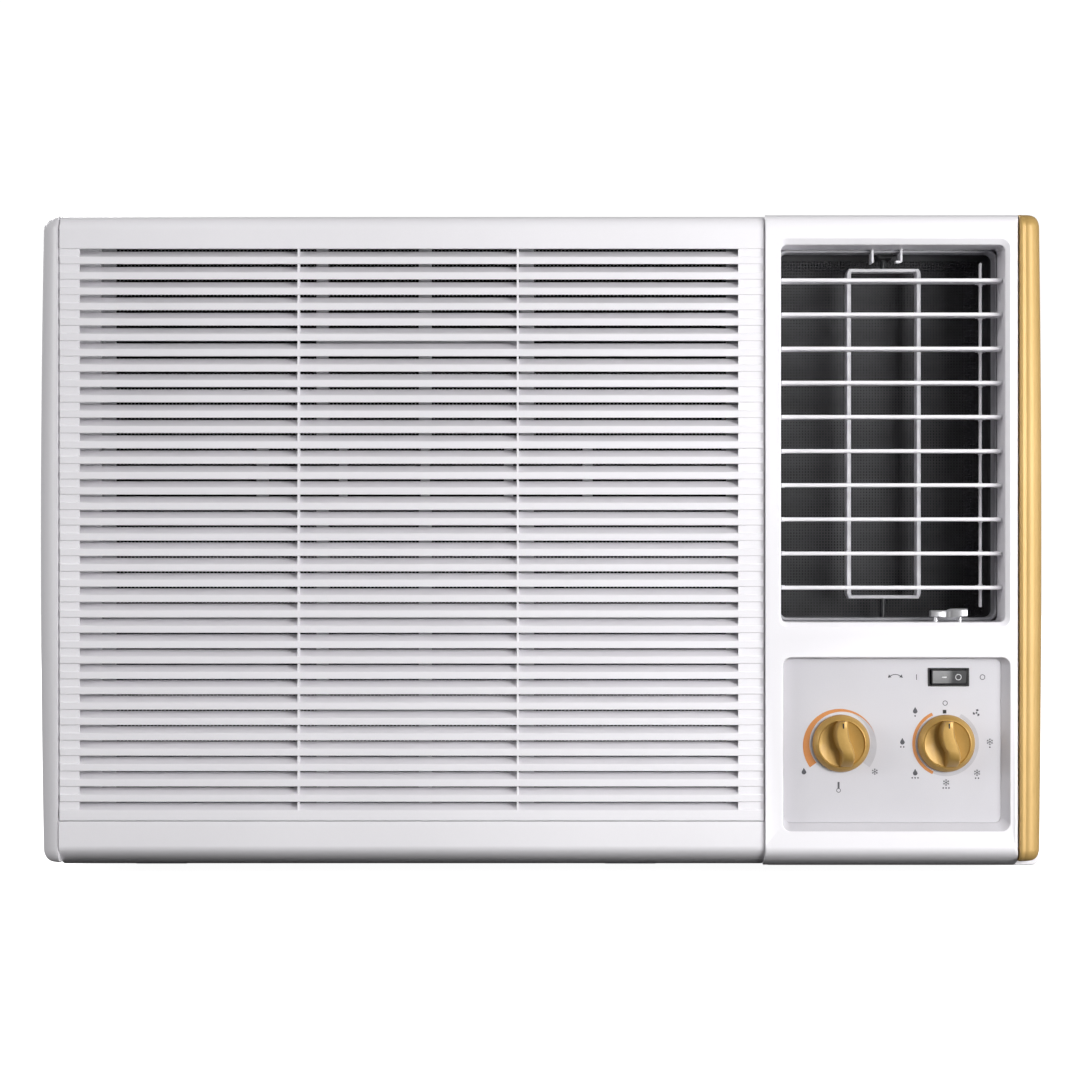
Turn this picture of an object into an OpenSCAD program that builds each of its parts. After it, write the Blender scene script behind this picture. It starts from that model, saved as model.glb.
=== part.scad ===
// Window air conditioner with a left-hand intake grille and a right-hand outlet and control column.
// Millimetres. +X is the viewer's right, +Y runs from the room side to the outside, +Z is up.
// The origin is the centre of the footprint, on the surface that the base rails stand on.
// Depths in this file are measured from the face of the fascia, and from_face() places them.

/* [Overall] */
// Width over the end cap and the trim
unit_w = 666; // [620:1:800]
// Height of the fascia
fascia_h = 430; // [400:1:520]
// Depth from the fascia's face to the rear guard
unit_d = 680; // [640:1:840]
// Height of the base rails under the fascia
foot_h = 9; // [8:1:14]

/* [Walls and clearances] */
// Plastic wall thickness
wall = 2.5; // [2:0.1:3]
// Steel sheet thickness
sheet = 1.2; // [0.8:0.1:1.6]
// Gap between pieces that move past each other
gap = 0.4; // [0.3:0.05:0.5]
// Radial clearance of a shaft in its hole
run_gap = 0.05; // [0.03:0.01:0.08]
// Radius of the rounded long edges of the front
edge_r = 10; // [6:0.5:12]

/* [Front] */
// Width of the left end cap
cap_w = 14.5; // [10:0.5:20]
// Width of the gold trim on the right
trim_w = 16.5; // [10:0.5:20]
// Width of the outlet and control column, trim included
column_w = 184.7; // [180:0.1:200]
// Depth of the plastic front
front_d = 88; // [84:1:100]
// Set-back of the grille face behind the fascia's face
grille_set = 3; // [2:0.5:4]
// Height of the rail under the grille
rail_h = 27.8; // [22:0.1:32]

/* [Grille] */
// Number of intake slots
slot_n = 37; // [20:1:40]
// Height of one intake slot
slot_h = 5.15; // [4:0.05:6]
// Depth of a grille blade
fin_d = 9; // [6:0.5:12]
// Rise of a grille blade towards the rear
fin_rise = 4; // [1:0.1:5]
// Plain margin at the sides of the slots
slot_side = 11.7; // [8:0.1:20]
// Plain margin above the first slot
slot_top = 22; // [18:0.5:26]
// Plain margin under the last slot
slot_base = 7.5; // [6:0.5:14]

/* [Outlet] */
// Width of the outlet opening
outlet_w = 148; // [140:1:150]
// Distance from the opening to the right edge of the unit
outlet_side = 26; // [24:0.5:28]
// Distance from the opening to the top
outlet_top = 20.2; // [16:0.1:24]
// Distance from the opening to the bottom of the fascia
outlet_base = 160.4; // [156:0.1:180]
// Chord of a louvre blade
blade_chord = 26; // [20:0.5:28]
// Thickness of a louvre blade
blade_t = 2.6; // [2:0.1:3]
// Depth of the louvre pivots behind the face
blade_y = 24; // [22:0.5:26]
// Radius of the louvre end pins
pin_r = 1.5; // [1.2:0.1:1.8]
// Depth of the duct walls of the fascia
duct_d = 56; // [54:1:60]
// Depth of the guard at the back of the outlet
guard_y = 84; // [82:1:86]
// Half the distance between the two swing vanes
vane_half = 24.3; // [20:0.1:26]
// Chord of a swing vane
vane_chord = 14; // [10:0.5:15]

/* [Controls] */
// Height of the control recess
recess_h = 114.9; // [112:0.1:120]
// Distance from the recess to the bottom of the fascia
recess_base = 22.3; // [18:0.1:26]
// Depth of the control plate behind the fascia's face
plate_y = 7; // [5:0.5:8]
// Diameter of a control knob
knob_d = 38; // [32:0.5:40]
// Distance that the knobs stand proud of the fascia
knob_proud = 10; // [6:0.5:14]
// Height of the knob centres above the bottom of the recess
knob_z = 57.8; // [50:0.1:60]
// Radius of a control stem
stem_r = 3; // [2.5:0.1:3.5]
// Width of the rocker button
rocker_w = 24.4; // [20:0.1:26]
// Height of the rocker button
rocker_h = 9.3; // [8:0.1:12]
// Throw of the rocker button in degrees
rocker_throw = 14; // [8:1:16]

/* [Air system] */
// Radius of the centrifugal blower wheel
blower_r = 105; // [86:1:110]
// Radius of the axial condenser fan
fan_r = 165; // [150:1:170]
// Radius of the fan motor
motor_r = 62; // [50:1:66]
// Radius of the motor shaft
shaft_r = 6; // [5:0.5:8]
// Distance of the fan axis from the left side of the unit
fan_side = 268; // [240:1:300]
// Height of the fan axis above the bottom of the fascia
fan_z = 216; // [200:1:230]
// Depth of the bulkhead behind the fascia's face
bulkhead_y = 219; // [216:1:230]
// Thickness of the condenser
cond_d = 45; // [30:1:50]
// Radius of the compressor
comp_r = 70; // [55:1:72]
// Height of the compressor
comp_h = 310; // [240:5:320]

/* [Mounting] */
// Width of one base rail
rail_w = 35; // [28:1:40]
// Radius of the mounting holes
mount_r = 4.5; // [3:0.5:5]
// Distance between the mounting holes across the unit
mount_dx = 324; // [300:1:340]
// Distance between the mounting holes along the unit
mount_dy = 460; // [420:1:480]
// Radius of the condensate drain
drain_r = 6; // [4:0.5:8]
// Radius of the hole in the cord gland
gland_r = 4.5; // [3:0.5:6]

/* [Hidden] */
$fn = 48;

half_w = unit_w / 2;
face_y = (knob_proud - unit_d) / 2;
bottom_z = foot_h;
top_z = foot_h + fascia_h;
// The grille side of the front is a little lower than the fascia column.
step_h = 0.8;
left_x = cap_w - half_w;
split_x = half_w - column_w;
column_x = half_w - trim_w;
trim_d = 26;
low_z = bottom_z + step_h;
high_z = top_z - step_h;

// Cabinet
cab_x = half_w - 12;
cab_top = top_z - 6;
cab_end = unit_d - 8;
cab_in = cab_x - sheet;
pan_top = bottom_z + sheet;
rim_h = 36;
flange = 5;

// Grille and filter
grille_x0 = left_x + gap;
grille_x1 = split_x - gap;
grille_z0 = low_z + rail_h + gap;
grille_back = 19.5;
hinge_y = 18;
hinge_z = high_z - wall / 2;
slots_z1 = high_z - slot_top;
slot_pitch = (slots_z1 - grille_z0 - slot_base) / (slot_n - slot_h / (slot_h + 5));
filter_y0 = 24;
filter_y1 = 32;
filter_x0 = left_x + 26;
filter_x1 = split_x - 15.3;
filter_z0 = grille_z0 + 0.2;
filter_z1 = high_z - 0.4;

// Outlet
out_x1 = half_w - outlet_side;
out_x0 = out_x1 - outlet_w;
out_z0 = bottom_z + outlet_base;
out_z1 = top_z - outlet_top;
blade_n = 10;
blade_pitch = (out_z1 - out_z0) / (blade_n + 1);
tie_y = blade_y + 12;
tie_r = 1.25;
tie_x0 = out_x1 - 13;
tie_t = 2.4;
swing_x = out_x0 + 73.5;
swing_y = 62;
swing_z0 = out_z0 + 14.6;
swing_z1 = out_z1 - 11.3;
swing_pin = 2;
lever_x = out_x1 - 36;
lever_y = 17;
lever_travel = 30;

// Controls
rec_x0 = out_x0 + 1;
rec_x1 = out_x1 + 3;
rec_z0 = bottom_z + recess_base;
rec_z1 = rec_z0 + recess_h;
// The rim of the control recess is steep at the left and top, and sloped at the right and bottom.
bevel_in = 1;
bevel_out = 4.7;
thermo_x = out_x1 - 108;
mode_x = out_x1 - 38.4;
knobs_z = rec_z0 + knob_z;
rocker_x = out_x1 - 36.8;
rocker_z = rec_z1 - 13.3;
box_y0 = 27;
box_y1 = front_d - 2;
body_y0 = 12;

// Air system
axis_x = fan_side - half_w;
axis_z = bottom_z + fan_z;
evap_y0 = 46;
evap_y1 = front_d;
evap_z0 = low_z + 19.2;
evap_z1 = high_z - 13.2;
evap_pitch = (evap_z1 - evap_z0 - 20) / 12;
tube_r = 4;
// The coil stops short of the frame's sides by the length of its return bends.
evap_x0 = left_x + wall + evap_pitch / 2 + tube_r + 5;
evap_x1 = split_x - wall - evap_pitch / 2 - tube_r - 1.5;
scroll_y0 = 125;
scroll_y1 = bulkhead_y - 4;
scroll_r = blower_r + 18;
plenum_t = 5;
plenum_y1 = bulkhead_y - 3;
motor_y0 = bulkhead_y + 13;
motor_y1 = motor_y0 + 90;
cond_y1 = unit_d - 25;
cond_y0 = cond_y1 - cond_d;
cond_x = half_w - 30;
cond_z0 = pan_top + 8;
cond_z1 = cab_top - 8;
shroud_y = cond_y0 - 70;
comp_x = half_w - 115;
comp_y = bulkhead_y + 181;
comp_z0 = pan_top + 14;
acc_x = comp_x - 85;
acc_y = comp_y - 70;
vent_x0 = out_x0 + 11;
vent_x1 = out_x0 + 91;
vent_z0 = cab_top - 82;
vent_z1 = cab_top - 22;
vent_hinge_y = bulkhead_y + sheet + 2.6;
// Two full rails carry the mounting holes, and a shorter third one stands under the compressor.
mount_x = 62 - mount_dx / 2;
rails_x = [mount_x - mount_dx / 2, mount_x + mount_dx / 2, comp_x + 40];
rails_y = [front_d + 12, front_d + 12, bulkhead_y - 20];

// Placing and basic shapes -------------------------------------------------------------------

module from_face() translate([0, face_y, 0]) children();

// A box between two corners.
module block(a, b) translate(a) cube(b - a);

module rod_x(x0, x1, y, z, r) translate([x0, y, z]) rotate([0, 90, 0]) cylinder(r = r, h = x1 - x0);
module rod_y(y0, y1, x, z, r) translate([x, y0, z]) rotate([-90, 0, 0]) cylinder(r = r, h = y1 - y0);
module rod_z(z0, z1, x, y, r) translate([x, y, z0]) cylinder(r = r, h = z1 - z0);

// A front-view outline given a depth.
module along_y(y0, y1) translate([0, y1, 0]) rotate([90, 0, 0]) linear_extrude(y1 - y0) children();

// A side-view outline given a width.
module along_x(x0, x1) translate([x0, 0, 0]) rotate([90, 0, 90]) linear_extrude(x1 - x0) children();

module soft_rect(x0, z0, x1, z1, r)
    translate([x0 + r, z0 + r]) offset(r = r) square([x1 - x0 - 2 * r, z1 - z0 - 2 * r]);

// Side view of the front: square at the back, both front corners rounded.
module nose(y0, y1, z0, z1, r) {
    intersection() {
        soft_rect(y0, z0, y1 + 2 * r, z1, r);
        translate([y0, z0]) square([y1 - y0, z1 - z0]);
    }
}

// Four-sided ring of sheet: the outer box less the inner one.
module ring_box(a, b, t) {
    difference() {
        block(a, b);
        block(a + [t, -1, t], b + [-t, 1, -t]);
    }
}

// A tube of constant radius swept along a route of points.
module pipe(route, r, sides = 8) {
    n = len(route);
    dirs = [for (i = [0 : n - 1]) unit(route[min(i + 1, n - 1)] - route[max(i - 1, 0)])];
    rings = [for (i = [0 : n - 1]) for (k = [0 : sides - 1]) route[i]
        + r * cos(360 * k / sides) * side_of(dirs[i])
        + r * sin(360 * k / sides) * cross(dirs[i], side_of(dirs[i]))];
    skin = [for (i = [0 : n - 2]) for (k = [0 : sides - 1])
        [(i + 1) * sides + k, (i + 1) * sides + (k + 1) % sides, i * sides + (k + 1) % sides, i * sides + k]];
    first_end = [for (k = [0 : sides - 1]) k];
    last_end = [for (k = [sides - 1 : -1 : 0]) (n - 1) * sides + k];
    polyhedron(rings, concat(skin, [first_end, last_end]));
}
function unit(v) = v / norm(v);
// A direction square to d that turns slowly along a route.
function side_of(d) = unit(cross(d, [0.31, 0.22, 0.93]));

// A route through corner points, each corner rounded by n points on a quadratic curve.
function rounded_route(c, r, n = 4) = concat([c[0]],
    [for (i = [1 : len(c) - 2]) for (k = [0 : n])
        let (a = c[i] + r * unit(c[i - 1] - c[i]), b = c[i] + r * unit(c[i + 1] - c[i]), t = k / n)
        (1 - t) * (1 - t) * a + 2 * t * (1 - t) * c[i] + t * t * b],
    [c[len(c) - 1]]);

// Base and cabinet ---------------------------------------------------------------------------

module mount_holes(z0, z1)
    for (sx = [-1, 1]) for (sy = [-1, 1])
        rod_z(z0, z1, mount_x + sx * mount_dx / 2, unit_d / 2 + 30 + sy * mount_dy / 2, mount_r);

// Pressed steel pan with an upstanding rim, which carries the compressor, fan and coils.
module base_pan() color("#B9BCC0") from_face() difference() {
    union() {
        block([-cab_in, front_d + 2, bottom_z], [cab_in, cab_end - 2, pan_top]);
        for (sx = [-1, 1]) block([min(sx * cab_in, sx * (cab_in - sheet)), front_d + 2, bottom_z],
            [max(sx * cab_in, sx * (cab_in - sheet)), cab_end - 2, bottom_z + rim_h]);
        block([-cab_in, front_d + 2, bottom_z], [cab_in, front_d + 2 + sheet, bottom_z + rim_h / 3]);
        block([-cab_in, cab_end - 2 - sheet, bottom_z], [cab_in, cab_end - 2, bottom_z + rim_h]);
    }
    mount_holes(bottom_z - 1, pan_top + 1);
    rod_y(cab_end - 4, cab_end, -cab_in + 60, pan_top + drain_r + 3, drain_r);
    pan_screw_holes();
}

module pan_screw_holes() for (sx = [-1, 1]) for (y = screw_ys)
    rod_x(sx * cab_x - 4, sx * cab_x + 4, y, screw_z, screw_r);

screw_r = 2;
screw_z = bottom_z + 22;
screw_ys = [front_d + 40, unit_d / 2 + 40, cab_end - 40];

// Three folded steel channels under the pan.
module base_rails() color("#3A3B3D") from_face() difference() {
    for (i = [0 : 2]) let (x = rails_x[i], y = rails_y[i]) difference() {
        block([x - rail_w / 2, y, 0], [x + rail_w / 2, cab_end - 30, bottom_z]);
        block([x - rail_w / 2 + 3, y - 1, 2], [x + rail_w / 2 - 3, cab_end - 29, bottom_z - 2]);
    }
    mount_holes(-1, bottom_z + 1);
}

slot_rows_y = [bulkhead_y + 30, cab_end - 210];
side_slot_n = 12;

// Pressed steel wrapper: two sides and a top, flanged at both ends and slotted behind the bulkhead.
module cabinet() color("#D5D3CB") from_face() difference() {
    block([-cab_x, front_d, bottom_z], [cab_x, cab_end, cab_top]);
    block([-cab_in, front_d + sheet, bottom_z - 1], [cab_in, cab_end - sheet, cab_top - sheet]);
    block([-cab_x + flange, front_d - 1, bottom_z - 1], [cab_x - flange, cab_end + 1, cab_top - flange]);
    for (y = slot_rows_y) for (i = [0 : side_slot_n - 1]) {
        z = bottom_z + 130 + i * 20;
        block([-cab_x - 1, y, z], [cab_x + 1, y + 120, z + 6]);
        x = (i - (side_slot_n - 1) / 2) * 46;
        block([x - 3, y, cab_top - 3], [x + 3, y + 120, cab_top + 1]);
    }
    pan_screw_holes();
}

// Frame and bars over the rear of the condenser, above the rim of the pan and its drain.
module rear_guard() color("#8D8F91") from_face() {
    z0 = bottom_z + rim_h;
    ring_box([-cab_x, cab_end, z0], [cab_x, unit_d, cab_top], guard_frame);
    n = 15;
    for (i = [1 : n]) {
        z = z0 + guard_frame + i * (cab_top - z0 - 2 * guard_frame) / (n + 1);
        block([guard_frame - cab_x, cab_end + 2, z - 1.5], [cab_x - guard_frame, cab_end + 4, z + 1.5]);
    }
    for (i = [1 : 5]) {
        x = -cab_x + i * cab_x / 3;
        block([x - 2, cab_end, z0 + guard_frame], [x + 2, cab_end + 2, cab_top - guard_frame]);
    }
}
guard_frame = 12;

// Front --------------------------------------------------------------------------------------

// Moulded frame behind the grille, with the rail and rounded lower edge below it.
module front_frame() color("#EDEBEF") from_face() {
    difference() {
        union() {
            block([left_x, grille_back + 0.8, high_z - wall], [split_x, front_d, high_z]);
            for (x = [left_x, split_x - wall])
                block([x, grille_back + 0.8, low_z + wall], [x + wall, front_d, high_z - wall / 2]);
            along_x(left_x, split_x) difference() {
                intersection() {
                    nose(grille_set, front_d, low_z, low_z + 60, edge_r);
                    translate([0, low_z]) square([front_d, rail_h]);
                }
                nose(grille_set + wall, front_d + 1, low_z + wall, low_z + rail_h - wall, edge_r - wall);
                translate([filter_y1 + 4, low_z + wall]) square([front_d, rail_h]);
            }
            // Baffle that the filter slides on, open over the evaporator.
            difference() {
                block([left_x + wall, filter_y1 + 1, low_z + rail_h - wall], [split_x - wall, filter_y1 + 4, high_z - wall]);
                block([evap_x0, 0, low_z + rail_h + 4], [evap_x1, front_d, high_z - wall - 8]);
            }
            for (x = [[left_x + wall, filter_x0 - gap], [filter_x1 + gap, split_x - wall]])
                block([x[0], grille_back + 1.5, low_z + rail_h], [x[1], filter_y1 + 1, high_z - wall]);
        }
        block([filter_x0 - gap, filter_y0 - 0.8, high_z - wall - 1], [filter_x1 + gap, filter_y1 + 0.8, high_z + 1]);
    }
}

// Moulded cap that closes the left end of the front.
module left_end_cap() color("#C9C7CC") from_face() difference() {
    cap_solid(-half_w, left_x, 1, front_d, low_z, high_z, 7);
    block([-half_w + wall, 4, low_z + wall], [left_x - wall, front_d + 1, high_z - wall]);
    rod_x(left_x - wall - 1, left_x + 1, hinge_y, hinge_z, hinge_r + run_gap);
    block([left_x - wall - 1, 25, low_z + 20], [left_x + 1, front_d - 10, high_z - 30]);
}

// An end piece rounded in front view (outer corners) and in top view (outer front edge).
module cap_solid(xa, xb, y0, y1, z0, z1, r) intersection() {
    side = xb > 0 ? 1 : -1;
    grow = 4 * r;
    along_y(y0, y1) soft_rect(side > 0 ? xa - grow : xa, z0, side > 0 ? xb : xb + grow, z1, r);
    translate([0, 0, z0]) linear_extrude(z1 - z0)
        soft_rect(side > 0 ? xa - grow : xa, y0, side > 0 ? xb : xb + grow, y1 + grow, r);
    block([xa, y0, z0], [xb, y1, z1]);
}

hinge_r = 1.1;

// Moulded column with the outlet duct, the control recess and a step for the trim.
module control_fascia() color("#F6F5F8") from_face() difference() {
    union() {
        // Outer shell.
        along_x(split_x, column_x) difference() {
            nose(0, front_d, bottom_z, top_z, edge_r);
            nose(wall, front_d + 1, bottom_z + wall, top_z - wall, edge_r - wall);
        }
        for (x = [split_x, column_x - wall])
            along_x(x, x + wall) nose(0.5, x == split_x ? front_d : trim_d, bottom_z + 0.5, top_z - 0.5, edge_r);
        // Side behind the trim.
        difference() {
            cap_solid(column_x - wall, half_w, trim_d, front_d, bottom_z, top_z, 5);
            block([column_x - 2 * wall, trim_d + wall, bottom_z + wall], [half_w - wall, front_d + 1, top_z - wall]);
        }
        block([column_x - wall, 4, bottom_z], [half_w - 3, trim_d + 1, bottom_z + 2]);
        // Outlet duct and control recess.
        along_y(2, duct_d) soft_rect(out_x0 - wall, out_z0 - wall, out_x1 + wall, out_z1 + wall, 6);
        along_y(1, plate_y + 2 * wall) soft_rect(rec_x0 - wall, rec_z0 - wall, rec_x1 + wall, rec_z1 + wall, 6);
        // Bracket and hooks that hold the upper pivot of the swing deflector.
        swing_bracket();
    }
    difference() {
        union() {
            along_y(-1, duct_d + 1) soft_rect(out_x0, out_z0, out_x1, out_z1, 4);
            outlet_bevel();
        }
        swing_bracket();
    }
    // Bevelled recess, then the window that the control plate closes.
    recess_cut();
    rod_z(swing_z1 + 1, out_z1 - 2, swing_x, swing_y, swing_pin + run_gap);
    for (i = [1 : blade_n]) rod_x(out_x0 - wall - 1, out_x1 + wall + 1, blade_y, blade_z(i), pin_r + run_gap);
    rod_x(split_x - 1, split_x + wall + 1, hinge_y, hinge_z, hinge_r + run_gap);
    // Slot that the vent lever's posts run in.
    block([lever_x - lever_travel - 13, lever_y - 2, out_z0 - wall - 1], [lever_x + 13, lever_y + 2, out_z0 + 1]);
    rod_x(half_w - wall - 1, half_w + 1, gland_y, gland_z, gland_out);
    block([split_x - 1, 40, bottom_z + 30], [split_x + wall + 1, front_d - 8, bottom_z + 60]);
}

gland_y = 60;
gland_z = bottom_z + 28;
gland_out = 8;

module swing_bracket() {
    block([swing_x - 5, 40, swing_z1 + 4.5], [swing_x + 5, duct_d, out_z1 + wall]);
    block([swing_x - 5, 40, swing_z1 + 4.5], [swing_x + 5, swing_y + 6, swing_z1 + 8.5]);
    for (x = [-10, 8]) block([swing_x + x, 30, swing_z1 + 4.5], [swing_x + x + 2.5, duct_d, out_z1 + wall]);
}

// Sloped rim around the outlet opening.
module outlet_bevel() {
    steps = 4;
    for (i = [0 : steps - 1]) let (g = 2 * (1 - i / steps))
        along_y(-1, 2.4 * (i + 1) / steps) soft_rect(out_x0 - g, out_z0 - 1.5 * g, out_x1 + g * 1.6, out_z1 + 1.5 * g, 5);
}

// Sloped rim around the control recess, and the recess itself.
module recess_cut() {
    steps = 5;
    for (i = [0 : steps - 1]) let (u = i / steps)
        along_y(-1, plate_y * (i + 1) / steps) soft_rect(rec_x0 + u * bevel_in, rec_z0 + u * bevel_out,
            rec_x1 - u * bevel_out, rec_z1 - u * bevel_in, 5);
    along_y(-1, plate_y + 2) soft_rect(plate_x0, plate_z0, plate_x1, plate_z1, 3);
    along_y(-1, front_d) soft_rect(plate_x0 + 2, plate_z0 + 2, plate_x1 - 2, plate_z1 - 2, 3);
}
plate_x0 = rec_x0 + bevel_in;
plate_x1 = rec_x1 - bevel_out;
plate_z0 = rec_z0 + bevel_out;
plate_z1 = rec_z1 - bevel_in;

// Gold plated trim strip along the right edge.
module right_trim() color("#C9A45E") from_face() difference() {
    cap_solid(column_x, half_w, 0, trim_d, bottom_z + 2, top_z, 6);
    block([column_x - 1, wall, bottom_z + 2 + wall], [half_w - wall, trim_d - wall, top_z - wall]);
}

// Printed plate at the back of the control recess.
module control_plate() color("#DEDCE1") from_face() difference() {
    along_y(plate_y, plate_y + 2) soft_rect(plate_x0, plate_z0, plate_x1, plate_z1, 3);
    for (x = [thermo_x, mode_x]) rod_y(plate_y - 1, plate_y + 3, x, knobs_z, bush_r);
    block([rocker_x - rocker_w / 2 - 1.5, plate_y - 1, rocker_z - rocker_h / 2 - 1.5],
        [rocker_x + rocker_w / 2 + 1.5, plate_y + 3, rocker_z + rocker_h / 2 + 1.5]);
}
bush_r = 5.5;

// Dark perforated guard at the back of the outlet.
module outlet_guard() color("#333435") from_face() difference() {
    block([out_x0, guard_y, out_z0], [out_x1, guard_y + 1.5, out_z1]);
    for (i = [0 : 6]) for (j = [0 : 8])
        translate([out_x0 + 8 + i * (outlet_w - 12) / 7, guard_y - 1, out_z0 + 8 + j * (out_z1 - out_z0 - 12) / 9])
            cube([(outlet_w - 12) / 7 - 4, 4, (out_z1 - out_z0 - 12) / 9 - 4]);
}

// Foam duct from the blower to the outlet.
module discharge_plenum() color("#4A4B4C") from_face() difference() {
    block([out_x0 - plenum_t, duct_d, out_z0 - plenum_t], [out_x1 + plenum_t, plenum_y1, out_z1 + plenum_t]);
    block([out_x0, duct_d - 1, out_z0], [out_x1, plenum_y1 - plenum_t, out_z1]);
    block([out_x0 - plenum_t - 1, scroll_y0 + 4, axis_z + 14], [out_x0 + 1, plenum_y1 - plenum_t - 1, axis_z + scroll_r - 4]);
    rod_z(out_z0 - plenum_t - 1, out_z0 + 1, swing_x, swing_y, swing_pin + 2);
}

// Air system ---------------------------------------------------------------------------------

module scroll_outline(grow) {
    translate([axis_x, axis_z]) circle(r = scroll_r + grow, $fn = 96);
    translate([axis_x, axis_z + 10 - grow]) square([out_x0 - plenum_t - axis_x, scroll_r - 10 + 2 * grow]);
}

// Scroll around the blower wheel, with a bell mouth in front and the shaft hole behind.
module scroll_housing() color("#E4E4E0") from_face() difference() {
    along_y(scroll_y0, scroll_y1) scroll_outline(3);
    difference() {
        along_y(scroll_y0 + 3, scroll_y1 - 3) scroll_outline(0);
        block([out_x0 - plenum_t, 0, 0], [half_w, unit_d, top_z]);
    }
    block([out_x0 - plenum_t - 4, scroll_y0 + 3, axis_z + 10], [out_x0, scroll_y1 - 3, axis_z + scroll_r]);
    rod_y(scroll_y0 - 1, scroll_y0 + 4, axis_x, axis_z, blower_r - 17);
    rod_y(scroll_y1 - 4, scroll_y1 + 1, axis_x, axis_z, shaft_r + 8);
}

// Aluminium fin pack of the indoor coil.
module evaporator_fins() color("#B8BCBE") from_face()
    block([evap_x0, evap_y0, evap_z0], [evap_x1, evap_y1, evap_z1]);

// A half-ring return bend in a plane square to X, opening towards side s.
module u_bend(x, y, z, s, spread)
    translate([x, y, z]) rotate([0, s > 0 ? 0 : 180, 0]) rotate([90, 0, 0])
        rotate_extrude(start = -90, angle = 180) translate([spread / 2, 0]) circle(r = tube_r, $fn = 24);

// Copper return bends that stand out of both ends of the indoor coil.
module evaporator_tubes() color("#B4713F") from_face()
    for (y = [evap_y0 + 12, evap_y1 - 10]) for (i = [0 : 5]) {
        u_bend(evap_x0, y, evap_z0 + 10 + evap_pitch * (2 * i + 1), -1, evap_pitch);
        if (i < 5) u_bend(evap_x1, y, evap_z0 + 10 + evap_pitch * (2 * i + 2), 1, evap_pitch);
    }

// Moulded tray that catches the water from the indoor coil and carries it.
module drain_tray() color("#D8D8D4") from_face() difference() {
    block([left_x + wall + 4, evap_y0 - 5, low_z + wall], [split_x - wall - 4, front_d, evap_z0 + 6]);
    block([left_x + wall + 7, evap_y0 - 2, low_z + wall + 3], [evap_x0 - 0.2, front_d - 3, evap_z0 + 7]);
    block([evap_x0 + 8, evap_y0 - 2, low_z + wall + 3], [evap_x1 - 8, front_d - 3, evap_z0 + 7]);
    block([evap_x1 + 0.2, evap_y0 - 2, low_z + wall + 3], [split_x - wall - 7, front_d - 3, evap_z0 + 7]);
    block([evap_x0, evap_y0, evap_z0], [evap_x1, front_d + 1, evap_z0 + 7]);
}

// Electric heater: three pairs of sheathed rods in a steel frame behind the coil.
module heater_coil() color("#8A8478") from_face() {
    x0 = axis_x - 120;
    x1 = axis_x + 120;
    for (x = [x0, x1]) block([x - 4, front_d + 8, axis_z - 110], [x + 4, front_d + 24, axis_z + 110]);
    for (z = [axis_z - 110, axis_z + 106]) block([x0 + 4, front_d + 8, z], [x1 - 4, front_d + 24, z + 4]);
    for (i = [0 : 5]) rod_x(x0 + 4, x1 - 4, front_d + 16, axis_z - 88 + i * 35, 4);
    // Stand-offs to the scroll's face.
    for (x = [x0, x1]) for (z = [axis_z - 40, axis_z + 40]) rod_y(front_d + 24, scroll_y0, x, z, 3);
}

// Steel wall between the room side and the outside.
module bulkhead() color("#A9ACAE") from_face() difference() {
    block([-cab_in + sheet, bulkhead_y, pan_top], [cab_in - sheet, bulkhead_y + sheet, cab_top - sheet]);
    rod_y(bulkhead_y - 1, bulkhead_y + sheet + 1, axis_x, axis_z, shaft_r + 10);
    block([vent_x0 + 8, bulkhead_y - 1, vent_z0 + 8], [vent_x1 - 8, bulkhead_y + sheet + 1, vent_z1 - 8]);
    rod_y(bulkhead_y - 1, bulkhead_y + sheet + 1, split_x - 8, pan_top + 50, 7);
    rod_y(bulkhead_y - 1, bulkhead_y + sheet + 1, split_x - 68, pan_top + 50, 5);
}

// Folded stand that carries the fan motor.
module motor_bracket() color("#9EA1A3") from_face() difference() {
    block([axis_x - motor_r + 4, motor_y0 + 14, pan_top], [axis_x + motor_r - 4, motor_y1 - 14, axis_z - 22]);
    block([axis_x - motor_r + 8, motor_y0 + 13, pan_top + 3], [axis_x + motor_r - 8, motor_y1 - 13, axis_z - motor_r - 4]);
    rod_y(motor_y0, motor_y1, axis_x, axis_z, motor_r);
}

// Double-ended fan motor with a running bore for its shaft.
module fan_motor() color("#55585A") from_face() difference() {
    union() {
        rod_y(motor_y0, motor_y1, axis_x, axis_z, motor_r);
        for (y = [motor_y0 - 5, motor_y1]) rod_y(y, y + 5, axis_x, axis_z, 20);
    }
    rod_y(motor_y0 - 6, motor_y1 + 6, axis_x, axis_z, shaft_r + run_gap);
}

// Sheet orifice and side walls that lead the fan's air to the outdoor coil.
module fan_shroud() color("#A4A7A9") from_face() difference() {
    union() {
        block([-cond_x, shroud_y, pan_top], [cond_x, shroud_y + 2, cond_z1]);
        rod_y(shroud_y - 24, shroud_y, axis_x, axis_z, fan_r + 15);
        for (x = [-cond_x, cond_x - 2]) block([x, shroud_y, pan_top], [x + 2, cond_y0, cond_z1]);
        block([-cond_x, shroud_y, cond_z1 - 2], [cond_x, cond_y0, cond_z1]);
    }
    rod_y(shroud_y - 25, shroud_y + 3, axis_x, axis_z, fan_r + 12);
    rod_y(shroud_y - 1, shroud_y + 3, cond_x - 30, comp_z0 + comp_h + 28, 6);
}

// Aluminium fin pack of the outdoor coil on its two end plates.
module condenser_fins() color("#B8BCBE") from_face() {
    block([-cond_x, cond_y0, cond_z0], [cond_x, cond_y1, cond_z1]);
    for (x = [-cond_x, cond_x - 3]) block([x, cond_y0, pan_top], [x + 3, cond_y1, cond_z0]);
}

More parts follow.
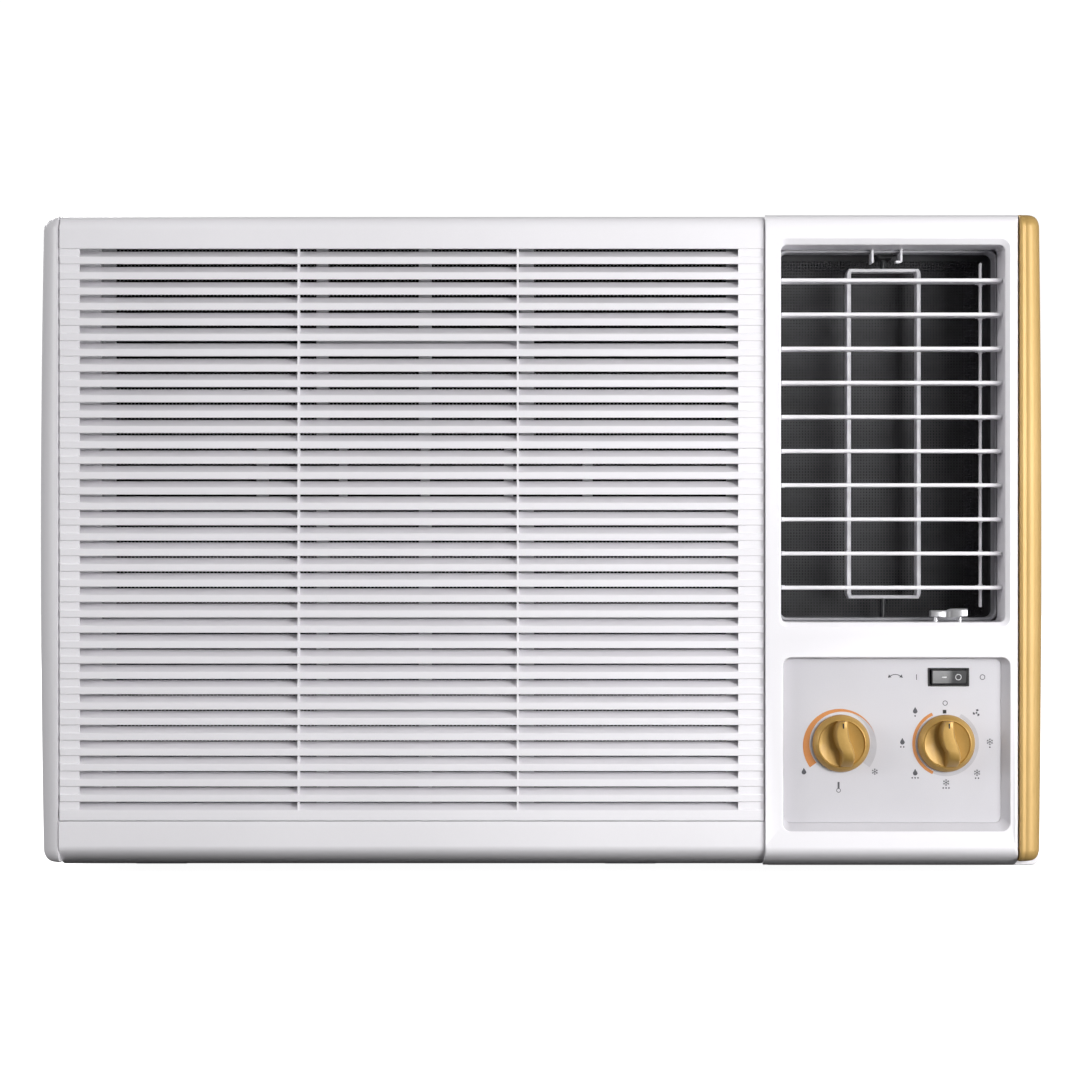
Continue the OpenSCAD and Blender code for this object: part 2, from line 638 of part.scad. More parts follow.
// Copper return bends of the outdoor coil.
module condenser_tubes() color("#B4713F") from_face() {
    pitch = (cond_z1 - cond_z0 - 20) / 12;
    for (i = [0 : 5]) {
        u_bend(-cond_x, cond_y0 + cond_d / 2, cond_z0 + 10 + pitch * (2 * i + 1), -1, pitch * 0.5);
        if (i < 5) u_bend(cond_x, cond_y0 + cond_d / 2, cond_z0 + 10 + pitch * (2 * i + 2), 1, pitch * 0.5);
    }
}

// Hermetic rotary compressor with its three-legged base and terminal cover.
module compressor() color("#2B2C2E") from_face() {
    translate([comp_x, comp_y, comp_z0]) {
        rotate_extrude() {
            square([comp_r, comp_h - 60]);
            polygon(concat([[0, comp_h - 60]], [for (a = [0 : 10 : 90])
                [comp_r * cos(a), comp_h - 60 + 60 * sin(a)]]));
        }
        for (a = [90, 210, 330]) rotate([0, 0, a]) translate([comp_r - 20, -14, 0]) cube([42, 28, 4]);
    }
}

module compressor_grommets() color("#1F1F20") from_face()
    for (a = [90, 210, 330])
        translate([comp_x + (comp_r + 10) * cos(a), comp_y + (comp_r + 10) * sin(a), pan_top]) {
            cylinder(r = 12, h = comp_z0 - pan_top);
            translate([0, 0, comp_z0 - pan_top + 4]) cylinder(r = 9, h = 6);
        }

// Suction accumulator beside the compressor.
module accumulator() color("#2B2C2E") from_face() translate([acc_x, acc_y, comp_z0 + 60]) {
    cylinder(r = 22, h = 140);
    translate([0, 0, 140]) cylinder(r1 = 22, r2 = 8, h = 14);
    translate([0, 0, -12]) cylinder(r1 = 8, r2 = 22, h = 12);
    strap_l = norm([comp_x - acc_x, comp_y - acc_y]) - comp_r;
    rotate([0, 0, atan2(comp_y - acc_y, comp_x - acc_x)]) translate([20, -8, 60]) cube([strap_l - 20 + 1, 16, 20]);
}

// Suction, discharge and liquid lines.
module refrigerant_pipes() color("#B4713F") from_face() {
    pipe(rounded_route([[split_x - 8, evap_y1 + 2, pan_top + 50], [split_x - 8, bulkhead_y + 40, pan_top + 50],
        [acc_x, acc_y, pan_top + 25], [acc_x, acc_y, comp_z0 + 48]], 18), 5);
    pipe(rounded_route([[comp_x, comp_y, comp_z0 + comp_h], [comp_x, comp_y, comp_z0 + comp_h + 28],
        [cond_x - 30, comp_y + 90, comp_z0 + comp_h + 28], [cond_x - 30, cond_y0, comp_z0 + comp_h + 28]], 14), 4);
    pipe(rounded_route([[acc_x, acc_y, comp_z0 + 214], [acc_x, acc_y, comp_z0 + 240],
        [comp_x - 30, comp_y - 20, comp_z0 + comp_h + 10], [comp_x - 30, comp_y - 20, comp_z0 + comp_h - 12]], 12), 4.5);
}

coil_r = 24;
coil_x = split_x - 68;
coil_y = bulkhead_y + 60;
coil_z = pan_top + 50;

// Coiled capillary that meters the liquid from the outdoor coil to the indoor one.
module capillary_tube() color("#B4713F") from_face() {
    turns = 3;
    helix = [for (a = [0 : 24 : 360 * turns]) [coil_x + coil_r * sin(a), coil_y + coil_r * (1 - cos(a)), coil_z + a / 60]];
    pipe(concat([[coil_x - 60, evap_y1 + 2, coil_z], [coil_x - 10, evap_y1 + 12, coil_z], [coil_x, evap_y1 + 40, coil_z],
        [coil_x, coil_y - 30, coil_z], [coil_x - 4, coil_y - 10, coil_z]], helix,
        [[coil_x - 30, coil_y + 20, coil_z + 60], [coil_x - 60, shroud_y - 60, pan_top + 20]]), 1.6, 6);
}

// Controls -----------------------------------------------------------------------------------

// Folded steel box that holds the switches behind the control plate.
module control_box() color("#A9ACAE") from_face() difference() {
    block([rec_x0 + 2, box_y0, rec_z0 - 10], [rec_x1 - 1, box_y1, rec_z1 - 5]);
    block([rec_x0 + 2 + sheet, box_y0 + sheet, rec_z0 - 10 + sheet], [rec_x1 - 1 - sheet, box_y1 - sheet, rec_z1 - 5 - sheet]);
    for (x = [thermo_x, mode_x]) rod_y(box_y0 - 1, box_y0 + 3, x, knobs_z, bush_r);
    block([rocker_x - rocker_w / 2 - 1.5, box_y0 - 1, rocker_z - rocker_h / 2 - 1.5],
        [rocker_x + rocker_w / 2 + 1.5, box_y0 + 3, rocker_z + rocker_h / 2 + 1.5]);
}

// A switch body with the bush that its stem turns in.
module rotary_body(x, half_x, half_z, y1) difference() {
    union() {
        block([x - half_x, box_y0 + sheet, knobs_z - half_z], [x + half_x, y1, knobs_z + half_z]);
        rod_y(plate_y, box_y0 + sheet, x, knobs_z, bush_r);
    }
    rod_y(plate_y - 1, box_y0 + 14, x, knobs_z, stem_r + run_gap);
}

module mode_switch() color("#7B5A3A") from_face() rotary_body(mode_x, 20, 18, box_y0 + 32);

module thermostat_body() color("#C4C6C8") from_face() rotary_body(thermo_x, 15, 22, box_y0 + 40);

cap_r = 16;
module run_capacitor() color("#BFC2C4") from_face()
    rod_x(thermo_x - 25, mode_x + 10, box_y1 - 24, rec_z0 - 10 + sheet + cap_r, cap_r);

// Housing that the rocker button tilts in.
module rocker_housing() color("#2A2A2C") from_face() difference() {
    block([rocker_x - rocker_w / 2 - 1.5, plate_y, rocker_z - rocker_h / 2 - 1.5],
        [rocker_x + rocker_w / 2 + 1.5, box_y0 + 6, rocker_z + rocker_h / 2 + 1.5]);
    block([rocker_x - rocker_w / 2 - 0.6, plate_y - 1, rocker_z - rocker_h / 2 - gap],
        [rocker_x + rocker_w / 2 + 0.6, plate_y + 15, rocker_z + rocker_h / 2 + gap]);
    rod_z(rocker_z - rocker_h / 2 - 1.2, rocker_z + rocker_h / 2 + 1.2, rocker_x, rocker_y, 1 + run_gap);
}
rocker_y = plate_y + 3;

// Small synchronous motor that swings the deflector.
module swing_motor() color("#C4C6C8") from_face() difference() {
    rod_z(out_z0 - plenum_t - 14, out_z0 - plenum_t, swing_x, swing_y, 20);
    rod_z(out_z0 - plenum_t - 12, out_z0 - plenum_t + 1, swing_x, swing_y, swing_pin + run_gap);
}

// Bush in the side of the fascia that the supply cord leaves through.
module cord_gland() color("#1F1F20") from_face() difference() {
    union() {
        rod_x(half_w - wall - 4, half_w - wall, gland_y, gland_z, gland_out + 3);
        rod_x(half_w - wall, half_w - 0.5, gland_y, gland_z, gland_out);
    }
    rod_x(half_w - wall - 5, half_w, gland_y, gland_z, gland_r);
}

// Sheet-metal screws that hold the cabinet to the pan.
module screws() color("#C8CACC") from_face()
    for (sx = [-1, 1]) for (y = screw_ys) {
        rod_x(min(sx * (cab_in - 3), sx * cab_x), max(sx * (cab_in - 3), sx * cab_x), y, screw_z, screw_r);
        rod_x(min(sx * cab_x, sx * (cab_x + 2.2)), max(sx * cab_x, sx * (cab_x + 2.2)), y, screw_z, 4);
    }

// Moving pieces of the front -----------------------------------------------------------------

// Large moulded intake grille, hinged along its top edge.
module intake_grille() color("#EDEBEF") from_face() difference() {
    union() {
        along_x(grille_x0, grille_x1) difference() {
            intersection() {
                nose(grille_set, grille_back, grille_z0 - 60, high_z, edge_r);
                translate([grille_set, grille_z0]) square([60, high_z - grille_z0]);
            }
            translate([0, slots_z1]) mirror([0, 1]) square([grille_back + 1, slots_z1 - grille_z0 - wall]);
            intersection() {
                nose(grille_set + wall, grille_back + 9, grille_z0 - 60, high_z - wall, edge_r - wall);
                translate([0, grille_z0 + wall]) square([60, high_z]);
            }
        }
        for (x = [grille_x0, grille_x1 - slot_side])
            block([x, grille_set, grille_z0 + 1], [x + slot_side, grille_set + wall, slots_z1 + 1]);
        for (x = [grille_x0, grille_x1 - wall])
            block([x, grille_set + 1, grille_z0 + 1], [x + wall, grille_back, slots_z1 + 1]);
        block([grille_x0 + 1, grille_set, grille_z0 + 1], [grille_x1 - 1, grille_set + wall, slot_z(slot_n)]);
        for (i = [1 : slot_n]) along_x(grille_x0 + slot_side, grille_x1 - slot_side) translate([grille_set, slot_z(i)])
            polygon([[0, 0], [0, slot_h - slot_pitch], [fin_d, slot_h - slot_pitch + fin_rise], [fin_d, fin_rise]]);
        for (x = grille_ribs) block([x - 0.7, grille_set + 0.5, grille_z0 + 2], [x + 0.7, grille_set + fin_d, slots_z1 + 1]);
        rod_x(left_x - wall + 0.4, split_x + wall - 0.4, hinge_y, hinge_z, hinge_r);
    }
}
grille_ribs = [grille_x0 + 158.1, grille_x1 - 162.9];
// Lower edge of slot i, counted from the top.
function slot_z(i) = slots_z1 - (i - 1) * slot_pitch - slot_h;

// Pull-out filter frame with its cross ribs.
module filter_frame() color("#A8A8AC") from_face() {
    w = filter_x1 - filter_x0;
    ring_box([filter_x0, filter_y0, filter_z0], [filter_x1, filter_y1, filter_z1], 9);
    for (u = [0.33, 0.5, 0.67]) block([filter_x0 + u * w - 4, filter_y0, filter_z0 + 8],
        [filter_x0 + u * w + 4, filter_y0 + 3, filter_z1 - 8]);
    for (u = [0.33, 0.62, 0.8]) block([filter_x0 + 8, filter_y0, filter_z0 + u * (filter_z1 - filter_z0) - 2.5],
        [filter_x1 - 8, filter_y0 + 3, filter_z0 + u * (filter_z1 - filter_z0) + 2.5]);
}

module filter_mesh() color("#6E7073") from_face()
    block([filter_x0 + 9, filter_y0 + 3, filter_z0 + 9], [filter_x1 - 9, filter_y0 + 4, filter_z1 - 9]);

// A round knob with a raised grip, bored for its stem.
module knob(x) difference() {
    union() {
        rod_y(-knob_proud + 8, plate_y - 0.5, x, knobs_z, knob_d / 2);
        along_y(-knob_proud, -knob_proud + 8) translate([x, knobs_z]) offset(r = 2)
            polygon([[-1, knob_d * 0.4], [-3, knob_d * 0.16], [-1, 0], [0.5, -knob_d * 0.4], [4, -knob_d * 0.4],
                [4, 0], [1, knob_d * 0.2], [1.5, knob_d * 0.4]]);
    }
    rod_y(0, plate_y + 1, x, knobs_z, stem_r);
}
module stem(x) rod_y(0, box_y0 + 13, x, knobs_z, stem_r);

module thermostat_knob() color("#D2B06A") from_face() knob(thermo_x);
module thermostat_stem() color("#B9BCC0") from_face() stem(thermo_x);
module mode_knob() color("#D2B06A") from_face() knob(mode_x);
module mode_stem() color("#B9BCC0") from_face() stem(mode_x);

// Rocker button at rest with its right end pressed.
module rocker_button() color("#2E2E30") from_face() translate([rocker_x, rocker_y, rocker_z]) {
    half = rocker_w / 2 - 0.3;
    rotate([0, 0, rocker_throw / 2]) translate([0, 0, -rocker_h / 2]) linear_extrude(rocker_h)
        polygon([[-half, -4.6], [0, -3.4], [half, -4.6], [half, 0], [6, 4.5], [-6, 4.5], [-half, 0]]);
    rod_z(-rocker_h / 2 - 1, rocker_h / 2 + 1, 0, 0, 1);
}

// Moving pieces of the outlet ----------------------------------------------------------------

function blade_z(i) = out_z1 - i * blade_pitch;

// One horizontal louvre with its end pins and the pin of the tie bar.
module louvre_blade(i) color("#F5F4F8") from_face() translate([0, 0, blade_z(i)]) {
    difference() {
        along_x(out_x0 + 1, out_x1 - 1) blade_outline();
        block([tie_x0 - 2, tie_y - 4.5, -5], [tie_x0 + tie_t + 2, tie_y + 20, 5]);
    }
    rod_x(out_x0 - wall + 0.3, out_x0 + 2, blade_y, 0, pin_r);
    rod_x(out_x1 - 2, out_x1 + wall - 0.3, blade_y, 0, pin_r);
    rod_x(tie_x0 - 0.8, tie_x0 + tie_t + 3, tie_y, 0, tie_r);
}

module blade_outline() {
    r = blade_t / 2;
    y0 = blade_y - blade_chord / 2;
    translate([y0 + r, 0]) circle(r = r);
    translate([y0 + r, -r]) square([blade_chord - 2 * r, blade_t]);
    translate([y0 + blade_chord - r, 0]) circle(r = r);
}

// Upright bar that joins the louvres so that they tilt together.
module louvre_tie_bar() color("#F5F4F8") from_face() difference() {
    block([tie_x0, tie_y - 2.5, blade_z(blade_n) - 6], [tie_x0 + tie_t, tie_y + 2.5, blade_z(1) + 6]);
    for (i = [1 : blade_n]) rod_x(tie_x0 - 1, tie_x0 + tie_t + 1, tie_y, blade_z(i), tie_r + run_gap);
}

// Closed frame with two upright vanes that swings the air from side to side.
module swing_deflector() color("#C9C7CD") from_face() translate([swing_x, swing_y, 0]) {
    for (x = [-vane_half, vane_half])
        block([x - 1, -vane_chord / 2, swing_z0], [x + 1, vane_chord / 2, swing_z1]);
    for (z = [swing_z0, swing_z1 - 2.5])
        block([-vane_half, -vane_chord / 2, z], [vane_half, vane_chord / 2, z + 2.5]);
    rod_z(out_z0 - plenum_t - 11, swing_z0 + 1, 0, 0, swing_pin);
    rod_z(swing_z1 - 1, swing_z1 + 8, 0, 0, swing_pin);
}

// Finger tab of the fresh-air vent, which slides in the floor of the outlet.
module vent_lever() color("#B9BCC0") from_face() {
    for (x = [-8, 8]) block([lever_x + x - 1.5, lever_y - 1.5, out_z0 - wall - 1], [lever_x + x + 1.5, lever_y + 1.5, out_z0 + 3.5]);
    block([lever_x - 12, lever_y - 5, out_z0 - wall - 3], [lever_x + 12, lever_y + 5, out_z0 - wall - 0.8]);
    block([lever_x - 12, lever_y - 6, out_z0 + 3], [lever_x + 12, lever_y + 4, out_z0 + 9]);
}

// Flap over the fresh-air opening of the bulkhead, hinged along its top.
module vent_door() color("#8D8F91") from_face() {
    block([vent_x0, bulkhead_y + sheet + 0.6, vent_z0], [vent_x1, bulkhead_y + sheet + 1.8, vent_z1]);
    rod_x(vent_x0, vent_x1, vent_hinge_y, vent_z1, 2);
}

// Rotor --------------------------------------------------------------------------------------

module motor_shaft() color("#B9BCC0") from_face()
    rod_y(scroll_y0 + 8, shroud_y - 8, axis_x, axis_z, shaft_r);

blower_y0 = scroll_y0 + 9;
blower_y1 = scroll_y1 - 9;

// Squirrel-cage wheel on the room side.
module blower_wheel() color("#6F7275") from_face() {
    difference() {
        union() {
            rod_y(blower_y1 - 2, blower_y1, axis_x, axis_z, blower_r);
            rod_y(blower_y1 - 24, blower_y1, axis_x, axis_z, 14);
        }
        rod_y(blower_y0, blower_y1 + 1, axis_x, axis_z, shaft_r);
    }
    difference() {
        rod_y(blower_y0, blower_y0 + 3, axis_x, axis_z, blower_r);
        rod_y(blower_y0 - 1, blower_y0 + 4, axis_x, axis_z, blower_r - 16);
    }
    for (a = [0 : 10 : 350]) translate([axis_x, 0, axis_z]) rotate([0, a, 0]) translate([blower_r - 8, 0, 0])
        rotate([0, 35, 0]) block([-7, blower_y0 + 2, -0.6], [7, blower_y1 - 1, 0.6]);
}

// Axial fan with the slinger ring that throws condensate onto the outdoor coil.
module condenser_fan() color("#3A3B3D") from_face() {
    y1 = shroud_y - 10;
    difference() {
        rod_y(y1 - 34, y1, axis_x, axis_z, 34);
        rod_y(y1 - 40, y1 + 1, axis_x, axis_z, shaft_r);
    }
    difference() {
        rod_y(y1 - 8, y1, axis_x, axis_z, fan_r);
        rod_y(y1 - 9, y1 + 1, axis_x, axis_z, fan_r - 3);
    }
    for (a = [0 : 72 : 288]) intersection() {
        translate([axis_x, y1 - 17, axis_z]) rotate([0, a, 0]) translate([33, 0, 0])
            rotate([28, 0, 0]) block([0, -1.2, -48], [fan_r - 30, 1.2, 48]);
        rod_y(y1 - 40, y1, axis_x, axis_z, fan_r - 1);
        rod_y(y1 - 32, y1 - 2, axis_x, axis_z, fan_r);
    }
}

// Nodes --------------------------------------------------------------------------------------

base_pan();
base_rails();
cabinet();
rear_guard();
front_frame();
left_end_cap();
control_fascia();
right_trim();
control_plate();
outlet_guard();
discharge_plenum();
scroll_housing();
evaporator_fins();
evaporator_tubes();
drain_tray();
heater_coil();
bulkhead();
motor_bracket();
fan_motor();
fan_shroud();
condenser_fins();
condenser_tubes();
compressor();
compressor_grommets();
accumulator();
refrigerant_pipes();
capillary_tube();
control_box();
mode_switch();
thermostat_body();
run_capacitor();
rocker_housing();
swing_motor();
cord_gland();
screws();
intake_grille();
filter_frame();
filter_mesh();
thermostat_knob();
thermostat_stem();
mode_knob();
mode_stem();
rocker_button();
louvre_blade(1);  // louvre_blade_01
louvre_blade(2);  // louvre_blade_02
louvre_blade(3);  // louvre_blade_03
louvre_blade(4);  // louvre_blade_04
louvre_blade(5);  // louvre_blade_05
louvre_blade(6);  // louvre_blade_06
louvre_blade(7);  // louvre_blade_07
louvre_blade(8);  // louvre_blade_08
louvre_blade(9);  // louvre_blade_09
louvre_blade(10);  // louvre_blade_10
louvre_tie_bar();
swing_deflector();
vent_lever();
vent_door();
motor_shaft();
blower_wheel();
condenser_fan();
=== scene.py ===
# Window air conditioner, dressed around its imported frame.
# The sections follow the unit as it is put together, from the base and the cabinet to the controls.
# Lengths are in millimetres: across (x), depth behind the fascia's face (f) and height (z).
import math

import bpy
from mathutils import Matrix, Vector


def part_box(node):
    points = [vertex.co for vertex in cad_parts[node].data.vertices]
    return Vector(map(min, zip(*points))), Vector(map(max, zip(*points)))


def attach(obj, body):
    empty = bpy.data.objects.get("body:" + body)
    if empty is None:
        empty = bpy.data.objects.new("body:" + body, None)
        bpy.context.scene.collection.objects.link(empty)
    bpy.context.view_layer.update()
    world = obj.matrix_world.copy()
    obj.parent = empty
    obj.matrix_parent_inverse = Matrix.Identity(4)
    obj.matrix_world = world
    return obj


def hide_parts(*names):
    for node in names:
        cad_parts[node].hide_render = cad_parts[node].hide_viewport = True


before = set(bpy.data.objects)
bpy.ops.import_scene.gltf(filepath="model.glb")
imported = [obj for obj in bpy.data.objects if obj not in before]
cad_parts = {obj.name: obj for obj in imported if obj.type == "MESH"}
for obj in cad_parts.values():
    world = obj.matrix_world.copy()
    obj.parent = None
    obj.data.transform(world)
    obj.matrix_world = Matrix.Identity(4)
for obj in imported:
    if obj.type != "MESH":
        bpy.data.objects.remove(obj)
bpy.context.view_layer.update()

# ---- Base pan and rails ---------------------------------------------------------------------
# Galvanised steel pan, pressed from sheet, on three folded channels painted dark.
# The zinc shows a faint crystal pattern, and the paint is a thin even coat.


def tint(code):
    """An sRGB hex colour as linear values, with full alpha."""
    parts = [int(code[i:i + 2], 16) / 255 for i in (1, 3, 5)]
    return [p / 12.92 if p <= 0.04045 else ((p + 0.055) / 1.055) ** 2.4 for p in parts] + [1.0]


def add(mat, kind, settings=None, **links):
    """Adds a node, sets its properties and input values, and links its inputs."""
    node = mat.node_tree.nodes.new(kind)
    for key, value in (settings or {}).items():
        if isinstance(key, str) and hasattr(node, key):
            setattr(node, key, value)
        else:
            node.inputs[key].default_value = value
    for name, source in links.items():
        mat.node_tree.links.new(source, node.inputs[name.replace("_", " ")])
    return node


def finish_of(name, colour, shade, rough, grain_mm, relief_mm, metallic=0.0, ior=1.5, stretch=(1, 1, 1),
              patch_mm=60, pattern="noise", coat=0.0):
    """A moulded, painted or metal surface: two close tones in soft patches, and a fine relief."""
    mat = bpy.data.materials.new(name)
    mat.use_nodes = True
    tree = mat.node_tree
    surface = tree.nodes["Principled BSDF"]
    place = add(mat, "ShaderNodeTexCoord").outputs["Object"]
    grain_space = add(mat, "ShaderNodeMapping", {"Scale": stretch}, Vector=place).outputs["Vector"]
    patches = add(mat, "ShaderNodeTexNoise", {"Scale": 1000 / patch_mm, "Detail": 3.0}, Vector=place)
    if pattern == "cells":
        grain = add(mat, "ShaderNodeTexVoronoi", {"Scale": 1000 / grain_mm}, Vector=grain_space).outputs["Distance"]
    else:
        fine = {"Scale": 1000 / grain_mm, "Detail": 4.0}
        grain = add(mat, "ShaderNodeTexNoise", fine, Vector=grain_space).outputs["Fac"]
    both = add(mat, "ShaderNodeMath", {"operation": "MULTIPLY_ADD", 1: 0.35}, Value=grain)
    tree.links.new(patches.outputs["Fac"], both.inputs[2])
    ramp = add(mat, "ShaderNodeValToRGB", None, Fac=both.outputs[0])
    ramp.color_ramp.elements[0].position, ramp.color_ramp.elements[0].color = 0.45, tint(shade)
    ramp.color_ramp.elements[1].position, ramp.color_ramp.elements[1].color = 0.8, tint(colour)
    gloss = add(mat, "ShaderNodeMapRange", {"To Min": rough * 0.88, "To Max": min(1.0, rough * 1.12)}, Value=grain)
    bump = add(mat, "ShaderNodeBump", {"Strength": 0.6, "Distance": relief_mm / 1000}, Height=grain)
    tree.links.new(ramp.outputs["Color"], surface.inputs["Base Color"])
    tree.links.new(gloss.outputs["Result"], surface.inputs["Roughness"])
    tree.links.new(bump.outputs["Normal"], surface.inputs["Normal"])
    surface.inputs["Metallic"].default_value = metallic
    if metallic < 0.5:
        surface.inputs["IOR"].default_value = ior
    surface.inputs["Coat Weight"].default_value = coat
    return mat


def dress(mat, names, edge_mm=0.0):
    """Gives CAD nodes their finish, and breaks their sharp edges as tooling would."""
    for name in names.split():
        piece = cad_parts[name]
        for slot in piece.material_slots:
            slot.material = mat
        if edge_mm:
            edge = piece.modifiers.new("broken_edges", "BEVEL")
            edge.width, edge.segments, edge.limit_method = edge_mm / 1000, 2, "ANGLE"
            edge.angle_limit = math.radians(40)
            edge.harden_normals = True


# Zinc spangle about 9 mm across, half bright; the enamel is a smooth black film with a low sheen.
galvanised = finish_of("hot_dip_galvanised_steel", "#B4B7B9", "#8E9193", 0.42, 9, 0.02, metallic=0.85,
                       pattern="cells")
dark_paint = finish_of("dark_stoved_enamel", "#2C2D2F", "#1F2021", 0.45, 0.9, 0.03, patch_mm=35)
dress(galvanised, "base_pan bulkhead fan_shroud control_box motor_bracket vent_door", 0.3)
dress(dark_paint, "base_rails", 0.4)

# ---- Cabinet --------------------------------------------------------------------------------
# Steel wrapper in a warm grey powder coat, whose orange-peel skin gives a broken sheen.
# Each slot has a pressed hood over it; screws with domed heads hold the sides to the pan.


def span(node):
    """A node's box in millimetres, with depths measured from the fascia's face."""
    return [[v * 1000 - origin for v, origin in zip(corner, (0, face_y, 0))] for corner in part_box(node)]


face_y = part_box("right_trim")[0][1] * 1000


def build(name, body, slot, mat, verts, faces, replaces=(), smooth_deg=35, weld=False):
    """A mesh piece from points in millimetres, riding on a body."""
    mesh = bpy.data.meshes.new(name)
    mesh.from_pydata([(x / 1000, (f + face_y) / 1000, z / 1000) for x, f, z in verts], [], faces)
    mesh.materials.append(mat)
    piece = bpy.data.objects.new(name, mesh)
    bpy.context.scene.collection.objects.link(piece)
    bpy.context.view_layer.objects.active = piece
    bpy.ops.object.select_all(action="DESELECT")
    piece.select_set(True)
    bpy.ops.object.mode_set(mode="EDIT")
    bpy.ops.mesh.select_all(action="SELECT")
    if weld:
        bpy.ops.mesh.remove_doubles(threshold=0.00002)
    bpy.ops.mesh.normals_make_consistent(inside=False)
    bpy.ops.object.mode_set(mode="OBJECT")
    mesh.shade_smooth()
    mesh.set_sharp_from_angle(angle=math.radians(smooth_deg))
    piece.modifiers.new("even_shading", "WEIGHTED_NORMAL").keep_sharp = True
    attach(piece, body)
    if replaces:
        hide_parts(*replaces)
    return piece


def grid(rows, closed=False):
    """Quads between equal rows of points; closed joins each row's end to its start."""
    width = len(rows[0])
    faces = []
    for i in range(len(rows) - 1):
        for j in range(width if closed else width - 1):
            k = (j + 1) % width
            faces.append((i * width + j, i * width + k, (i + 1) * width + k, (i + 1) * width + j))
    return [p for row in rows for p in row], faces


def merge(parts):
    """Joins several (points, faces) lists into one."""
    verts, faces = [], []
    for points, quads in parts:
        faces += [tuple(i + len(verts) for i in quad) for quad in quads]
        verts += points
    return verts, faces


def loft(rows):
    """A closed solid through equal closed rows, capped at both ends."""
    verts, faces = grid(rows, closed=True)
    width = len(rows[0])
    faces.append(tuple(range(width)))
    faces.append(tuple(range(len(verts) - width, len(verts))))
    return verts, faces


# Orange peel of 1.6 mm in the powder coat; the screws keep a bright rolled zinc.
powder_coat = finish_of("warm_grey_powder_coat", "#D6D4CC", "#CFCDC5", 0.48, 1.6, 0.05, patch_mm=120)
zinc_screw = finish_of("zinc_plated_screw", "#B9BCBE", "#9EA1A3", 0.3, 0.8, 0.01, metallic=1.0)
dress(powder_coat, "cabinet", 0.3)
dress(zinc_screw, "screws", 0.5)

cab_low, cab_high = span("cabinet")
hood_length, hood_reach, hood_rise, sheet = 120.0, 8.0, 3.2, 0.8
points_along, points_down = 15, 6


def hood(base, out, down):
    """A pressed hood: a strip that swells out of the sheet towards its open lower edge."""
    skins = []
    for rise, lift in ((hood_rise, 0.05), (hood_rise - sheet, -0.6)):
        rows = []
        for i in range(points_along):
            u = i / (points_along - 1)
            swell = rise * math.sin(math.pi * u) ** 0.35
            row = []
            for k in range(points_down):
                w = k / (points_down - 1)
                proud = lift + swell * math.sin(w * math.pi / 2)
                row.append(tuple(base[a] + (hood_length * u if a == 1 else 0) + out[a] * proud
                                 + down[a] * hood_reach * w for a in range(3)))
            rows.append(row)
        skins.append(grid(rows))
    verts, faces = merge(skins)
    inner = len(skins[0][0])
    last = inner - points_down
    rim = list(range(0, last, points_down)) + list(range(last, inner))
    rim += list(range(last - 1, 0, -points_down)) + list(range(points_down - 2, 0, -1))
    faces += [(a, b, b + inner, a + inner) for a, b in zip(rim, rim[1:] + rim[:1])]
    return verts, faces


# Two rows of twelve on each side, 20 mm apart, and two rows over the top, 46 mm apart.
pressing = []
for start in (span("bulkhead")[0][1] + 30, cab_high[1] - 210):
    for i in range(12):
        z = cab_low[2] + 137.5 + i * 20
        for side in (-1, 1):
            pressing.append(hood((side * cab_high[0], start, z), (side, 0, 0), (0, 0, -1)))
        x = 4.5 + (i - 5.5) * 46
        pressing.append(hood((x, start, cab_high[2]), (0, 0, 1), (-1, 0, 0)))
build("cabinet_louvre_hoods", "chassis", "painted_sheet", powder_coat, *merge(pressing))

# ---- Rear guard and outdoor coil ------------------------------------------------------------
# Welded guard of painted round wire in a flat frame, over a coil of thin aluminium fins.
# The fins are drawn thicker and at a wider pitch than the real coil's, so that they show.


def tube_along(points, radius, sides=10):
    """A closed round rod swept through points."""
    rows = []
    for i, p in enumerate(points):
        ahead = Vector(points[min(i + 1, len(points) - 1)]) - Vector(points[max(i - 1, 0)])
        ahead.normalize()
        across = ahead.cross(Vector((0.31, 0.22, 0.93))).normalized()
        up = ahead.cross(across)
        rows.append([tuple(Vector(p) + radius * (math.cos(a) * across + math.sin(a) * up))
                     for a in (2 * math.pi * k / sides for k in range(sides))])
    return loft(rows)


def slab(low, high, edge=0.0):
    """A box between two corners, with its long edges broken."""
    (x0, y0, z0), (x1, y1, z1) = low, high
    e = edge
    if not e:
        return loft([[(x0, y0, z), (x1, y0, z), (x1, y1, z), (x0, y1, z)] for z in (z0, z1)])
    ring = [(x0 + e, y0), (x1 - e, y0), (x1, y0 + e), (x1, y1 - e),
            (x1 - e, y1), (x0 + e, y1), (x0, y1 - e), (x0, y0 + e)]
    mid_x, mid_y = (x0 + x1) / 2, (y0 + y1) / 2
    draw_x, draw_y = 1 - 2 * e / (x1 - x0), 1 - 2 * e / (y1 - y0)
    pull = [(mid_x + (x - mid_x) * draw_x, mid_y + (y - mid_y) * draw_y) for x, y in ring]
    return loft([[(x, y, z) for x, y in outline] for outline, z in
                 ((pull, z0), (ring, z0 + e), (ring, z1 - e), (pull, z1))])


